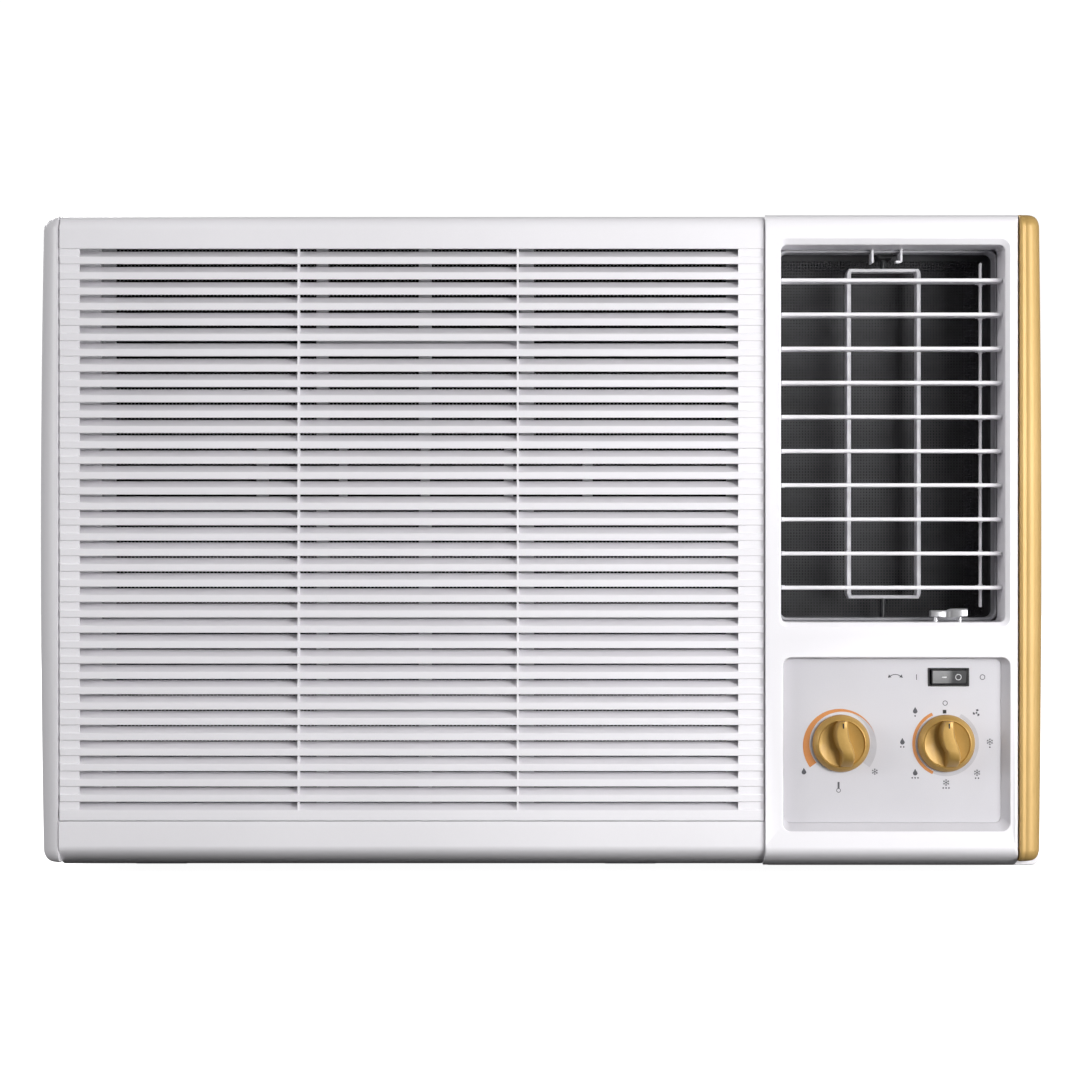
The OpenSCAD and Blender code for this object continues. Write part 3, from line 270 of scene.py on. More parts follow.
(gx0, _, gz0), (gx1, f_back, gz1) = span("rear_guard")
strip = 12
wires = []
for i in range(1, 24):
    z = gz0 + strip + i * (gz1 - gz0 - 2 * strip) / 24
    wires.append(tube_along([(gx0 + 8, f_back - 3.6, z), (gx1 - 8, f_back - 3.6, z)], 1.3, 8))
for i in range(1, 8):
    x = gx0 + i * (gx1 - gx0) / 8
    wires.append(tube_along([(x, f_back - 5.6, gz0 + 8), (x, f_back - 5.6, gz1 - 8)], 1.6, 8))
for x in (gx0, gx1 - strip):
    wires.append(slab((x, f_back - 8, gz0), (x + strip, f_back, gz1), 1.0))
for z in (gz0, gz1 - strip):
    wires.append(slab((gx0 + strip, f_back - 7.9, z), (gx1 - strip, f_back - 0.1, z + strip), 1.0))
build("rear_wire_guard", "chassis", "dark_steel", dark_paint, *merge(wires), replaces=("rear_guard",))

# Dull rolled aluminium with its drawing lines upright; the copper is bright with a brown tarnish.
fin_stock = finish_of("rolled_aluminium_fin_stock", "#CDD0D2", "#B3B7BA", 0.45, 2.5, 0.01, metallic=0.65,
                      stretch=(1, 1, 0.1))
copper = finish_of("drawn_copper_tube", "#C07A50", "#8E5233", 0.34, 14, 0.01, metallic=1.0, patch_mm=18)


def fin_pack(name, node, pitch, thick):
    """Thin waved upright plates side by side, with a tube through them every 32 mm of height."""
    (x0, f0, z0), (x1, f1, z1) = span(node)
    count, waves = int((x1 - x0) / pitch), 9
    plates = []
    for i in range(count + 1):
        x = x0 + i * (x1 - x0 - thick) / count
        wave = [(min(max(x + (0.35 if k % 2 else -0.35), x0), x1 - thick),
                 f0 + 0.2 + (f1 - f0 - 0.4) * k / (waves - 1)) for k in range(waves)]
        plate = wave + [(a + thick, f) for a, f in reversed(wave)]
        plates.append(loft([[(a, f, z) for a, f in plate] for z in (z0, z1)]))
    tube_rows = max(2, int((z1 - z0) / 32))
    for i in range(tube_rows):
        z, f = z0 + (i + 0.5) * (z1 - z0) / tube_rows, (f0 + f1) / 2
        plates.append(tube_along([(x0, f, z), (x1, f, z)], 4.6, 12))
    build(name, "chassis", "fin_aluminium", fin_stock, *merge(plates), replaces=(node,), smooth_deg=20)


fin_pack("condenser_coil_fins", "condenser_fins", 2.4, 0.6)
fin_pack("evaporator_coil_fins", "evaporator_fins", 3.0, 0.8)
dress(copper, "condenser_tubes evaporator_tubes refrigerant_pipes capillary_tube")

# ---- Compressor, fan motor and air path -----------------------------------------------------
# Compressor can and accumulator in black stoved paint on rubber feet; a steel fan motor on a
# stand; moulded blower and fan; a white scroll, a dark foam duct and a steel-sheathed heater.
plated = finish_of("nickel_plated_steel", "#C3C5C7", "#A9ACAE", 0.28, 1.2, 0.01, metallic=1.0, stretch=(1, 1, 6))
black_abs = finish_of("black_moulded_abs", "#2E2E30", "#262628", 0.42, 0.7, 0.02, patch_mm=20)
rubber = finish_of("moulded_nitrile_rubber", "#222223", "#191919", 0.75, 1.2, 0.04, patch_mm=10)
scroll_white = finish_of("natural_polypropylene", "#E2E2DE", "#D2D2CD", 0.5, 1.4, 0.04, patch_mm=40)
duct_foam = finish_of("charcoal_bead_foam", "#454547", "#2C2C2E", 0.85, 4.0, 0.5, patch_mm=25, pattern="cells")
heater_steel = finish_of("heat_tinted_steel", "#93897A", "#5F5850", 0.45, 1.5, 0.02, metallic=0.9, patch_mm=22)
phenolic = finish_of("brown_phenolic", "#6F4E33", "#593C26", 0.35, 0.8, 0.02, patch_mm=14)
dress(dark_paint, "compressor accumulator", 0.8)
dress(plated, "fan_motor swing_motor run_capacitor thermostat_body motor_shaft thermostat_stem mode_stem", 0.5)
dress(black_abs, "condenser_fan blower_wheel", 0.2)
dress(rubber, "compressor_grommets cord_gland", 0.6)
dress(scroll_white, "scroll_housing drain_tray", 0.6)
dress(duct_foam, "discharge_plenum")
dress(heater_steel, "heater_coil", 0.3)
dress(phenolic, "mode_switch", 0.4)

# ---- Front frame ----------------------------------------------------------------------------
# White ABS frame behind the grille, with the flat rail under it that rolls into the underside.
# The plastic is fresh from a satin tool: an even bluish white with a soft, slightly broken gloss.
white_abs = finish_of("satin_white_abs", "#F8F6FA", "#F3F1F5", 0.36, 0.55, 0.012, patch_mm=150, ior=1.53)
# The frame's inner faces take a greyer copy of the same white, as painted shade.
inner_white_painted_shade = finish_of("white_abs_inner_faces_painted_shade", "#F1F0F3", "#E9E8EB", 0.45, 0.7, 0.015, patch_mm=90, ior=1.53)

left_x, split_x = span("front_frame")[0][0], span("control_fascia")[0][0]
low_z, high_z = span("front_frame")[0][2], span("front_frame")[1][2]
front_d = span("control_fascia")[1][1]


def arc(cx, cz, r, a0, a1, n):
    """Points on an arc in n steps, angles in degrees."""
    turns = [math.radians(a0 + (a1 - a0) * i / n) for i in range(n + 1)]
    return [(cx + r * math.cos(t), cz + r * math.sin(t)) for t in turns]


def bar(profile, x0, x1, edge=0.0):
    """A side-view outline, as (f, z) points, carried across from x0 to x1."""
    if not edge:
        return loft([[(x, f, z) for f, z in profile] for x in (x0, x1)])
    cf = sum(p[0] for p in profile) / len(profile)
    cz = sum(p[1] for p in profile) / len(profile)

    def shrunk(d):
        return [(f + d * (1 if f < cf else -1), z + d * (1 if z < cz else -1)) for f, z in profile]

    rows = [(x0, shrunk(edge)), (x0 + edge, profile), (x1 - edge, profile), (x1, shrunk(edge))]
    return loft([[(x, f, z) for f, z in outline] for x, outline in rows])


# The undercut of the lower edge starts 12 mm up the face, runs 44 mm back and hangs 3.6 mm low.
rail_top = span("intake_grille")[0][2] - 0.4
rail_set, wall_face, wall_under = 3, 2.4, 2.3
roll_start, roll_depth, roll_hang = 12.0, 44.0, 3.6


def lower_roll(depth, height, steps):
    """A quarter of an ellipse from the face back to the underside."""
    turns = [0.5 * math.pi * step / steps for step in range(steps + 1)]
    return [(rail_set + roll_depth - depth * math.cos(t), low_z + roll_start - height * math.sin(t)) for t in turns]


rail_profile = [(36, rail_top)] + arc(rail_set + 0.9, rail_top - 0.9, 0.9, 90, 180, 4)
rail_profile += lower_roll(roll_depth, roll_start + roll_hang, 16)
rail_profile += [(front_d, low_z - roll_hang), (front_d, low_z - roll_hang + wall_under)]
rail_profile += lower_roll(roll_depth - wall_face, roll_start + roll_hang - wall_under, 8)[::-1]
rail_profile += [(rail_set + wall_face, rail_top - wall_face), (36, rail_top - wall_face)]
build("front_lower_rail", "chassis", "white_abs", white_abs, *bar(rail_profile, left_x + 0.1, split_x - 0.15),
      replaces=("front_frame",))

# The rest of the moulding: sides, a top with the slot that the filter lifts out of, stops beside
# the filter, and the baffle whose window opens onto the coil.
fl_low, fl_high = span("filter_frame")
ev_low, ev_high = span("evaporator_fins")
well = [slab((x, 20.3, low_z + 2.5), (x + 2.4, front_d, high_z - 1.3), 0.3) for x in (left_x + 0.1, split_x - 2.5)]
for near, far in ((20.3, fl_low[1] - 0.8), (fl_high[1] + 0.8, front_d)):
    well.append(slab((left_x + 0.1, near, high_z - 2.5), (split_x - 0.1, far, high_z), 0.2))
for x0, x1 in ((left_x + 2.5, fl_low[0] - 0.5), (fl_high[0] + 0.5, split_x - 2.5)):
    well.append(slab((x0, 21.0, rail_top), (x1, fl_high[1] + 1, high_z), 0.4))
    window = ev_low[0] if x0 < 0 else ev_high[0]
    well.append(slab((min(x0, window), 33.1, rail_top), (max(x1, window), 35.9, high_z - 2.5), 0.2))
for z0, z1 in ((rail_top - 2.3, rail_top + 4), (high_z - 10.5, high_z - 2.5)):
    well.append(slab((ev_low[0] - 1, 33.2, z0), (ev_high[0] + 1, 35.8, z1), 0.2))
build("front_filter_well", "chassis", "white_abs", inner_white_painted_shade, *merge(well))

# ---- Intake grille --------------------------------------------------------------------------
# One large white moulding: thirty-six sloped blades between two bands, low ribs where the blades
# run over the side lips, and two thin upright ribs that tie the blades together.
grille_z = span("intake_grille")[0][2]
x_a, x_b = left_x + 0.4, split_x - 0.4
slot_count, slot_height, blade_depth, blade_rise = 37, 5.15, 9.0, 4.0
slots_top = high_z - 22
pitch = (slots_top - grille_z - 7.5) / (slot_count - slot_height / (slot_height + 5))
slot_x0, slot_x1 = x_a + 13.2, x_b - 17.1
top_band = [(3.5, slots_top), (3, slots_top + 0.5)] + arc(13, high_z - 10, 10, 180, 90, 14)
top_band += [(19.5, high_z), (19.5, high_z - 2.4)] + arc(13, high_z - 10, 7.6, 90, 180, 8) + [(5.4, slots_top)]
last_slot = slots_top - (slot_count - 1) * pitch - slot_height
low_band = arc(3.8, grille_z + 0.8, 0.8, 180, 270, 4) + [(19.5, grille_z), (19.5, grille_z + 2.3)]
low_band += [(6.5, grille_z + 2.3), (6.5, last_slot - 2.0), (12, last_slot + blade_rise - 0.6)]
low_band += [(12, last_slot + blade_rise), (3.9, last_slot + 0.15)]
low_band += arc(3.6, last_slot - 0.6, 0.6, 90, 180, 3)
moulding = [bar(top_band, x_a, x_b, 0.3), bar(low_band, x_a, x_b, 0.3)]
for side_a, side_b in ((x_a, slot_x0), (slot_x1, x_b)):
    moulding.append(slab((side_a, 4.0, grille_z + 2), (side_b, 6.4, slots_top + 2)))
for x in (x_a, x_b - 2.4):
    moulding.append(slab((x, 6.0, grille_z + 1), (x + 2.4, 19.4, slots_top + 3)))
for i in range(1, slot_count):
    top = slots_top - (i - 1) * pitch - slot_height
    bottom = top - (pitch - slot_height)
    blade = arc(3.7, top - 0.7, 0.7, 100, 180, 4) + arc(3.7, bottom + 0.7, 0.7, 180, 250, 4)
    blade += [(3 + blade_depth, bottom + blade_rise + 0.4), (3 + blade_depth, top + blade_rise)]
    moulding.append(bar(blade, x_a + 0.3, x_b - 0.3, 0.25))
for x in (x_a + 158.1, x_b - 162.9):
    moulding.append(slab((x - 0.65, 3.6, grille_z + 4), (x + 0.65, 3 + blade_depth, slots_top + 2)))
build("intake_grille_moulding", "grille", "white_abs", white_abs, *merge(moulding), replaces=("intake_grille",))

# ---- Filter ---------------------------------------------------------------------------------
# Pull-out frame of grey polypropylene with cross ribs, and a dark woven nylon net in it.
# The net is drawn at 2.5 mm spacing with thick threads, coarser than a real 1 mm weave, to show; its near-black tone
# and closed weave are the real dark nylon and also painted shade for the grille's slots.
grey_frame = finish_of("grey_polypropylene", "#B7B6BA", "#A6A5A9", 0.5, 1.0, 0.03, patch_mm=40)


def four_bars(low, high, wide, edge):
    """Four flat bars round a rectangle."""
    (x0, f0, z0), (x1, f1, z1) = low, high
    bars = [slab((x, f0, z0), (x + wide, f1, z1), edge) for x in (x0, x1 - wide)]
    return bars + [slab((x0 + wide, f0, z), (x1 - wide, f1, z + wide), edge) for z in (z0, z1 - wide)]


ribs = four_bars(fl_low, fl_high, 9, 0.6)
f_rib = (fl_low[1] + 0.2, fl_low[1] + 3)


def slot_row(row):
    """Height of the see-through line of a slot, counted from the top."""
    return slots_top - row * pitch - 1.0


for x0, x1 in ((-149.6, -141.6), (-81.3, -72.6), (-13.7, -4.3)):
    ribs.append(slab((x0, f_rib[0], fl_low[2] + 9), (x1, f_rib[1], slot_row(16.5)), 0.4))
    ribs.append(slab((x0, f_rib[0], slot_row(12.5)), (x1, f_rib[1], fl_high[2] - 9), 0.4))
for x0, x1 in ((-189.6, -181.5), (-134.5, -129.0), (-80.0, -74.0), (-24.4, -18.3), (28.1, 34.8)):
    ribs.append(slab((x0, f_rib[0], slot_row(16.5)), (x1, f_rib[1], slot_row(12.5)), 0.4))
for row, x0, x1 in ((6, -149.6, -4.3), (12.4, fl_low[0], fl_high[0]), (16.6, fl_low[0], fl_high[0]),
                    (24, fl_low[0], fl_high[0]), (30, -149.6, -4.3)):
    ribs.append(slab((x0, f_rib[0] + 0.3, slot_row(row) - 3), (x1, f_rib[1] - 0.3, slot_row(row) + 3), 0.4))
build("filter_frame_ribs", "filter", "grey_abs", grey_frame, *merge(ribs), replaces=("filter_frame",))

# Near black: the nylon's own dark colour, deepened as painted shade behind the grille's slots.
net_nylon_and_slot_shade = finish_of("black_nylon_net_and_slot_shade", "#0B0B0C", "#070708", 0.95, 0.8, 0.02, patch_mm=30)
spacing, half_thread, f_net = 2.5, 0.85, fl_low[1] + 3.2
threads = []
for i in range(int((fl_high[0] - fl_low[0] - 18) / spacing)):
    x = fl_low[0] + 9 + (i + 0.5) * spacing
    threads.append(slab((x - half_thread, f_net, fl_low[2] + 8), (x + half_thread, f_net + 0.7, fl_high[2] - 8)))
for i in range(int((fl_high[2] - fl_low[2] - 18) / spacing)):
    z = fl_low[2] + 9 + (i + 0.5) * spacing
    threads.append(slab((fl_low[0] + 8, f_net + 0.1, z - half_thread), (fl_high[0] - 8, f_net + 0.8, z + half_thread)))
build("filter_net_weave", "filter", "filter_net", net_nylon_and_slot_shade, *merge(threads), replaces=("filter_mesh",), smooth_deg=20)

# ---- End cap and gold trim ------------------------------------------------------------------
# White moulded cap on the left and a vacuum-coated gold strip on the right. Both bow outwards
# by about two millimetres over their height, and roll in at the top and bottom.
gold = finish_of("gold_vacuum_coated_abs", "#C6A365", "#BB9959", 0.5, 1.4, 0.012, metallic=0.25, patch_mm=120,
                 stretch=(1, 1, 0.25), coat=0.05)


def end_piece(name, slot, mat, section, side, z0, z1, bow, roll, node):
    """A strip that closes one end: its top-view section carried up its height."""
    rows = []
    curl = [(roll * (1 - math.cos(t)), 1 - math.sin(t)) for t in (math.radians(a) for a in range(0, 90, 9))]
    heights = [(z0 + h, inset) for h, inset in curl]
    heights += [(z0 + roll + (z1 - z0 - 2 * roll) * i / 24, 0.0) for i in range(25)]
    heights += [(z1 - h, inset) for h, inset in reversed(curl)]
    edge_x, seam_x = section[-1][0], section[0][0]
    for z, inset in heights:
        t = (z - (z0 + z1) / 2) / ((z1 - z0) / 2)
        row = []
        for x, f in section:
            out = (x - seam_x) / (edge_x - seam_x)
            shift = -side * (bow * t * t * out + roll * 0.62 * inset * out)
            row.append((x + shift, f + roll * inset * max(0.0, 1 - f / 40), z))
        row.append((seam_x, section[-1][1], z))
        rows.append(row)
    build(name, "chassis", slot, mat, *loft(rows), replaces=(node,), smooth_deg=50)


cap_wide = span("left_end_cap")[1][0] - span("left_end_cap")[0][0]
cap_section = [(left_x - cap_wide * u, f) for u, f in (
    (-0.01, 8.0), (0.0, 5.4), (0.04, 4.3), (0.12, 4.2), (0.3, 5.5), (0.5, 7.5), (0.7, 10.0), (0.84, 12.6),
    (0.94, 16.0), (0.99, 20.0), (1.0, 25.0), (1.0, 50.0), (1.0, front_d))]
end_piece("left_cap_moulding", "white_abs", white_abs, cap_section, -1, low_z, high_z, 2.2, 9.0, "left_end_cap")
trim_low, trim_high = span("right_trim")
trim_x, half_w = trim_low[0], trim_high[0]
trim_section = [(trim_x + x, f) for x, f in (
    (0.1, 2.4), (0.4, 1.0), (1.2, 0.3), (2.6, 0.2), (3.8, 0.9), (4.8, 1.0), (6.6, 0.6), (9.2, 1.1), (11.6, 2.6),
    (13.8, 5.4), (15.4, 9.2), (16.3, 14.0), (16.5, 20.0), (16.5, 26.0))]
end_piece("gold_trim_strip", "gold_trim", gold, trim_section, 1, trim_low[2], trim_high[2], 1.6, 8.0, "right_trim")

# ---- Fascia ---------------------------------------------------------------------------------
# One white moulding holds the outlet duct and the control recess. Its long edges are rolled, the
# outlet has a narrow sloped rim, and the recess slopes only at its right and bottom.
# A slightly greyer copy of the white, for the hooks inside the outlet duct, is painted shade.
duct_white_painted_shade = finish_of("satin_white_abs_duct_painted_shade", "#F4F3F6", "#ECEBEE", 0.4, 0.7, 0.015, patch_mm=90, ior=1.53)


def rect_loop(x0, x1, z0, z1, r, square=()):
    """A rectangle as (x, z) points, its corners rounded except the square ones, from the top right."""
    loop = []
    for k, (x, z) in enumerate(((x1, z1), (x0, z1), (x0, z0), (x1, z0))):
        q = 0.0001 if k in square else r
        loop += arc(x + (q if k in (1, 2) else -q), z + (q if k > 1 else -q), q, 90 * k, 90 * k + 90, 6)
    return loop


def skirt(levels):
    """Quads through rounded rectangles at growing depth: (f, x0, x1, z0, z1, r)."""
    return grid([[(x, f, z) for x, z in rect_loop(*sides)] for f, *sides in levels], closed=True)


fa_low, fa_high = span("control_fascia")
guard = span("outlet_guard")
ox0, ox1, oz0, oz1 = guard[0][0], guard[1][0], guard[0][2], guard[1][2]
(px0, plate_f, pz0), (px1, _, pz1) = span("control_plate")
duct_end = span("discharge_plenum")[0][1]
roll_top, roll_left, roll_right = 10.0, 0.5, 3.2


def lower_edge(f):
    """Height of the fascia's lower edge at a depth f, which carries on the undercut of the rail."""
    ahead = 1 - min(f, roll_depth) / roll_depth
    return fa_low[2] + roll_start - (roll_start + roll_hang) * math.sqrt(1 - ahead ** 2)


outside = []
for step in range(0, 91, 9):
    s, c = 1 - math.sin(math.radians(step)), 1 - math.cos(math.radians(step))
    f = roll_top * c
    outside.append((f, fa_low[0] + roll_left * s, trim_x - roll_right * s, lower_edge(f), fa_high[2] - roll_top * s,
                    0.8 + 0.6 * s))
outside += [(f, fa_low[0], trim_x, lower_edge(f), fa_high[2], 0.8) for f in (13.0, 17.0, 21.0, 26.0)]
outside += [(26.4, fa_low[0], half_w - 0.6, lower_edge(26.4) + 0.3, fa_high[2] - 0.3, 4.0)]
outside += [(f, fa_low[0], half_w, lower_edge(f), fa_high[2], 4.6) for f in (27.0, 32.0, 37.0, 44.0, front_d)]
outlet = [(0.0, ox0 - 1.7, ox1 + 3.1, oz0 - 3.3, oz1 + 3.9, 6.2),
          (0.3, ox0 - 1.5, ox1 + 2.8, oz0 - 3.0, oz1 + 3.6, 6.0),
          (2.6, ox0 - 0.2, ox1 + 0.3, oz0 - 0.4, oz1 + 0.4, 4.4),
          (3.2, ox0, ox1, oz0, oz1, 4.0), (30.0, ox0, ox1, oz0, oz1, 3.0),
          (duct_end - 0.3, ox0, ox1, oz0, oz1, 2.0), (duct_end, ox0 - 0.4, ox1 + 0.4, oz0 - 0.4, oz1 + 0.4, 2.2)]
rx0, rx1, rz0, rz1 = px0 - 1, px1 + 4.7, pz0 - 4.7, pz1 + 1
recess = [(0.0, rx0 - 0.5, rx1 + 0.5, rz0 - 0.5, rz1 + 0.5, 6.0), (0.4, rx0, rx1, rz0, rz1, 5.6),
          (3.6, rx0 + 0.5, rx1 - 2.2, rz0 + 2.2, rz1 - 0.5, 5.0),
          (6.3, px0 + 0.1, px1 - 0.2, pz0 + 0.2, pz1 - 0.1, 4.2),
          (7.0, px0 + 0.2, px1 - 0.6, pz0 + 0.6, pz1 - 0.2, 4.0)]
plate_face = finish_of("pale_grey_printed_plate", "#D2D0D5", "#CCCACF", 0.42, 0.8, 0.012, patch_mm=80)
belt = 0.5 * (outlet[0][3] + recess[0][4])
_, x0, x1, z0, z1, r0 = outside[0]
face_loops = [(rect_loop(x0, x1, belt, z1, r0, square=(2, 3)), rect_loop(*outlet[0][1:])),
              (rect_loop(x0, x1, z0, belt, r0, square=(0, 1)), rect_loop(*recess[0][1:]))]
skins = [grid([[(x, 0.0, z) for x, z in loop] for loop in pair], closed=True) for pair in face_loops]
skins += [skirt(levels) for levels in (outside, outlet, recess)]
fascia = build("fascia_moulding", "chassis", "white_abs", white_abs, *merge(skins),
               replaces=("control_fascia",), weld=True)
wall = fascia.modifiers.new("moulded_wall", "SOLIDIFY")
wall.thickness, wall.offset = 0.0016, -1
fascia.modifiers.move(0, 1)

# The sloped rim of the recess, part of the white moulding, takes the control plate's grey as painted shade.
fascia.data.materials.append(plate_face)
for face in fascia.data.polygons:
    x, f, z = face.center[0] * 1000, face.center[1] * 1000 - face_y, face.center[2] * 1000
    if 0.3 < f < 8 and rx0 < x < rx1 and rz0 < z < rz1:
        face.material_index = 1

lip = [(f, ox0 + g, ox1 - g, oz0 + g, oz1 - g, 6.0 - g * 0.5) for f, g in
       ((39.2, 0.15), (38.6, 0.5), (38.4, 1.1), (38.7, 1.8), (39.6, 2.1), (duct_end - 0.6, 2.1),
        (duct_end - 0.6, 0.15), (39.2, 0.15))]
# The lip and liner deep in the outlet are grey as painted shade on the duct's inner wall.
liner_painted_shade = finish_of("grey_abs_liner_painted_shade", "#A9A9AD", "#9E9EA2", 0.42, 0.8, 0.015, patch_mm=50, ior=1.53)
build("outlet_duct_liner", "chassis", "grey_abs", liner_painted_shade, *skirt(lip), weld=True)

# ---- Outlet: net, louvres, tie bar, deflector and vent lever ---------------------------------
# White louvres on end pins, joined by a thin tie bar; behind them a light frame swings from side
# to side. A fine charcoal net closes the duct; a silver coated tab in its floor works the vent.
pivot_hook = []
for x, low in ((222.0, 9.2), (241.4, 8.6)):
    pivot_hook.append(slab((x, 34, oz1 - low), (x + 1.4, 50, oz1 + 1), 0.3))
pivot_hook.append(slab((238.4, 34.4, oz1 - 9.2), (242.0, 42, oz1 - 7.6), 0.3))
build("deflector_hooks", "chassis", "white_abs", duct_white_painted_shade, *merge(pivot_hook))
pivot_clip = [slab((227.4, 42, oz1 - 5.4), (237.6, 68, oz1 - 2.6), 0.6),
              slab((227.6, 42, oz1 - 5.0), (237.4, 55, oz1 + 1), 0.6)]
build("deflector_pivot_clip", "chassis", "black_plastic", black_abs, *merge(pivot_clip))

net_dark = finish_of("charcoal_coated_net", "#525254", "#434345", 0.7, 0.8, 0.01, patch_mm=60)
guard_f0, guard_f1 = guard[0][1], guard[1][1]
guard_wires = four_bars(guard[0], guard[1], 3, 0.2)
wire_step, half_wire = 2.0, 0.45
for i in range(1, 74):
    x = ox0 + i * wire_step
    guard_wires.append(slab((x - half_wire, guard_f0 + 0.1, oz0 + 2), (x + half_wire, guard_f1 - 0.5, oz1 - 2)))
for i in range(1, 125):
    z = oz0 + i * wire_step
    guard_wires.append(slab((ox0 + 2, guard_f0 + 0.3, z - half_wire), (ox1 - 2, guard_f1 - 0.2, z + half_wire)))
build("outlet_guard_net", "chassis", "black_plastic", net_dark, *merge(guard_wires), replaces=("outlet_guard",),
      smooth_deg=20)

tie_low, tie_high = span("louvre_tie_bar")
tie_f, nose = tie_low[1] + 2.5, 1.3
blade_pivots = []
for n in range(1, 11):
    node = "louvre_blade_%02d" % n
    low, high = span(node)
    z, f0, f1 = (low[2] + high[2]) / 2, low[1], high[1]
    blade_pivots.append(z)
    top = [(f0 + nose - nose * math.cos(a), z + nose * math.sin(a)) for a in (math.pi * k / 12 for k in range(8))]
    top += [(f0 + 9, z + 1.15), (f1 - 3, z + 1.0), (f1 - 0.4, z + 0.7), (f1, z)]
    profile = top + [(f, 2 * z - h) for f, h in reversed(top[1:-1])]
    notch = [(min(f, tie_low[1] - 2.2), h) for f, h in profile]
    parts = [bar(profile, ox0 + 1.0, tie_low[0] - 1.8, 0.3), bar(profile, tie_high[0] + 1.8, ox1 - 1.0, 0.3)]
    parts.append(slab((tie_low[0] - 2.1, f0 + 3, z - 0.95), (tie_high[0] + 2.1, tie_low[1] - 2.2, z + 0.95)))
    parts.append(bar([(f, h) for f, h in notch if f < f0 + 9.5], tie_low[0] - 2.1, tie_high[0] + 2.1))
    parts.append(tube_along([(low[0], 24, z), (ox0 + 4, 24, z)], 1.5, 16))
    parts.append(tube_along([(ox1 - 4, 24, z), (high[0], 24, z)], 1.5, 16))
    parts.append(tube_along([(tie_low[0] - 2.3, tie_f, z), (tie_high[0] + 2.3, tie_f, z)], 1.2, 16))
    build("louvre_moulding_%02d" % n, "louvre_%02d" % n, "white_abs", white_abs, *merge(parts), replaces=(node,),
          smooth_deg=50)

tie_mid = (tie_low[0] + tie_high[0]) / 2
tie = [slab((tie_mid - 0.8, tie_low[1], tie_low[2] - 7.4), (tie_mid + 0.8, tie_high[1], tie_high[2] + 7.4), 0.4)]
for z in blade_pivots:
    tie.append(tube_along([(tie_low[0] - 0.1, tie_f, z), (tie_high[0] + 0.1, tie_f, z)], 2.3, 20))
build("louvre_tie_bar_moulding", "tie_bar", "white_abs", white_abs, *merge(tie), replaces=("louvre_tie_bar",))

swing_low, swing_high = span("swing_deflector")
sx, sf = (swing_low[0] + swing_high[0]) / 2, (swing_low[1] + swing_high[1]) / 2
sz0, sz1 = oz0 + 14.6, oz1 - 11.3
vanes = []
for side in (-1, 1):
    outer = sx + side * (swing_high[0] - sx)
    inner = outer - side * 3.3
    section = [(outer, sf - 5.6), (outer, sf + 6.2), (outer - side * 0.5, sf + 6.9), (inner + side * 0.5, sf + 6.9),
               (inner, sf + 6.2), (inner, sf - 5.6), (inner + side * 0.6, sf - 6.9), (outer - side * 0.6, sf - 6.9)]
    levels = ((sz0 + 0.3, 1.0), (sz0 + 1.6, 0.3), (sz0 + 4, 0.0), (sz1 - 4, 0.0), (sz1 - 1.6, 0.3), (sz1 - 0.3, 1.0))
    vanes.append(loft([[(x - side * 1.8 * u, f, z) for x, f in section] for z, u in levels]))
for z in (sz0, sz1 - 2.3):
    vanes.append(slab((swing_low[0] + 1.2, sf - 6.4, z), (swing_high[0] - 1.2, sf + 6.4, z + 2.3), 0.5))
pins = [tube_along([(sx, sf, foot), (sx, sf, head)], 1.95, 20)
        for foot, head in ((swing_low[2], sz0 + 0.2), (sz1 - 0.2, swing_high[2]))]
build("swing_deflector_pins", "deflector", "steel", dark_paint, *merge(pins))
# The deflector frame is a greyed copy of the white ABS, painted shade for its place deep in the duct.
vane_white_painted_shade = finish_of("white_abs_vane_painted_shade", "#E9E8EC", "#E0DFE3", 0.4, 0.8, 0.02, patch_mm=70, ior=1.53)
build("swing_deflector_frame", "deflector", "white_abs", vane_white_painted_shade, *merge(vanes), replaces=("swing_deflector",))

lever_low, lever_high = span("vent_lever")
bright_plate = finish_of("satin_silver_coated_abs", "#CDCDCF", "#BABABD", 0.36, 1.2, 0.004, metallic=0.85, patch_mm=15)
tab_rows = []
for i in range(33):
    u = i / 32
    x = lever_low[0] + u * (lever_high[0] - lever_low[0])
    rise = 1 / (1 + math.exp(-40 * (u - 0.5)))
    wave = 0.3 * math.sin(u * 9.5) + 1.6 * rise
    crown = lever_high[2] - 1.4 + 1.2 * rise
    low = lever_high[2] - 6.2 + 0.6 * math.cos(u * 6.3)
    tab_rows.append([(x, f, z) for f, z in (
        (10.4 - wave, low), (9.6 - wave, low + 0.8), (9.4 - wave, crown - 0.9), (10.2 - wave, crown),
        (19.6, crown - 0.3), (20.4, crown - 1.2), (20.4, low))])
lever = [loft(tab_rows)]
for x in (lever_low[0] + 4, lever_high[0] - 4):
    lever.append(tube_along([(x, 17, lever_low[2] + 0.6), (x, 17, lever_high[2] - 3)], 1.45, 16))
lever.append(slab((lever_low[0], 12.2, lever_low[2]), (lever_high[0], 21.8, lever_low[2] + 2.0), 0.4))
build("vent_lever_tab", "vent_slider", "steel", bright_plate, *merge(lever), replaces=("vent_lever",))

# ---- Control plate, marks and rocker --------------------------------------------------------
# A pale grey printed plate with plain signs round the knobs: a flame and a snowflake, a fan, step
# dots and a thermometer. The rocker is black, with its dash and ring in pale paint.
dress(plate_face, "control_plate", 0.3)
ink, black_ink, orange_ink, grey_ink, pale_ink = (
    finish_of(name, colour, shade, 0.5, 0.6, 0.004, patch_mm=8) for name, colour, shade in (
        ("dark_grey_ink", "#55545A", "#4B4A50"), ("black_ink", "#1D1D1F", "#171718"),
        ("orange_ink", "#CE8848", "#C68043"), ("silver_grey_ink", "#BFBDC2", "#B8B6BB"),
        ("pale_marking_paint", "#D0D0D2", "#C6C6C8")))


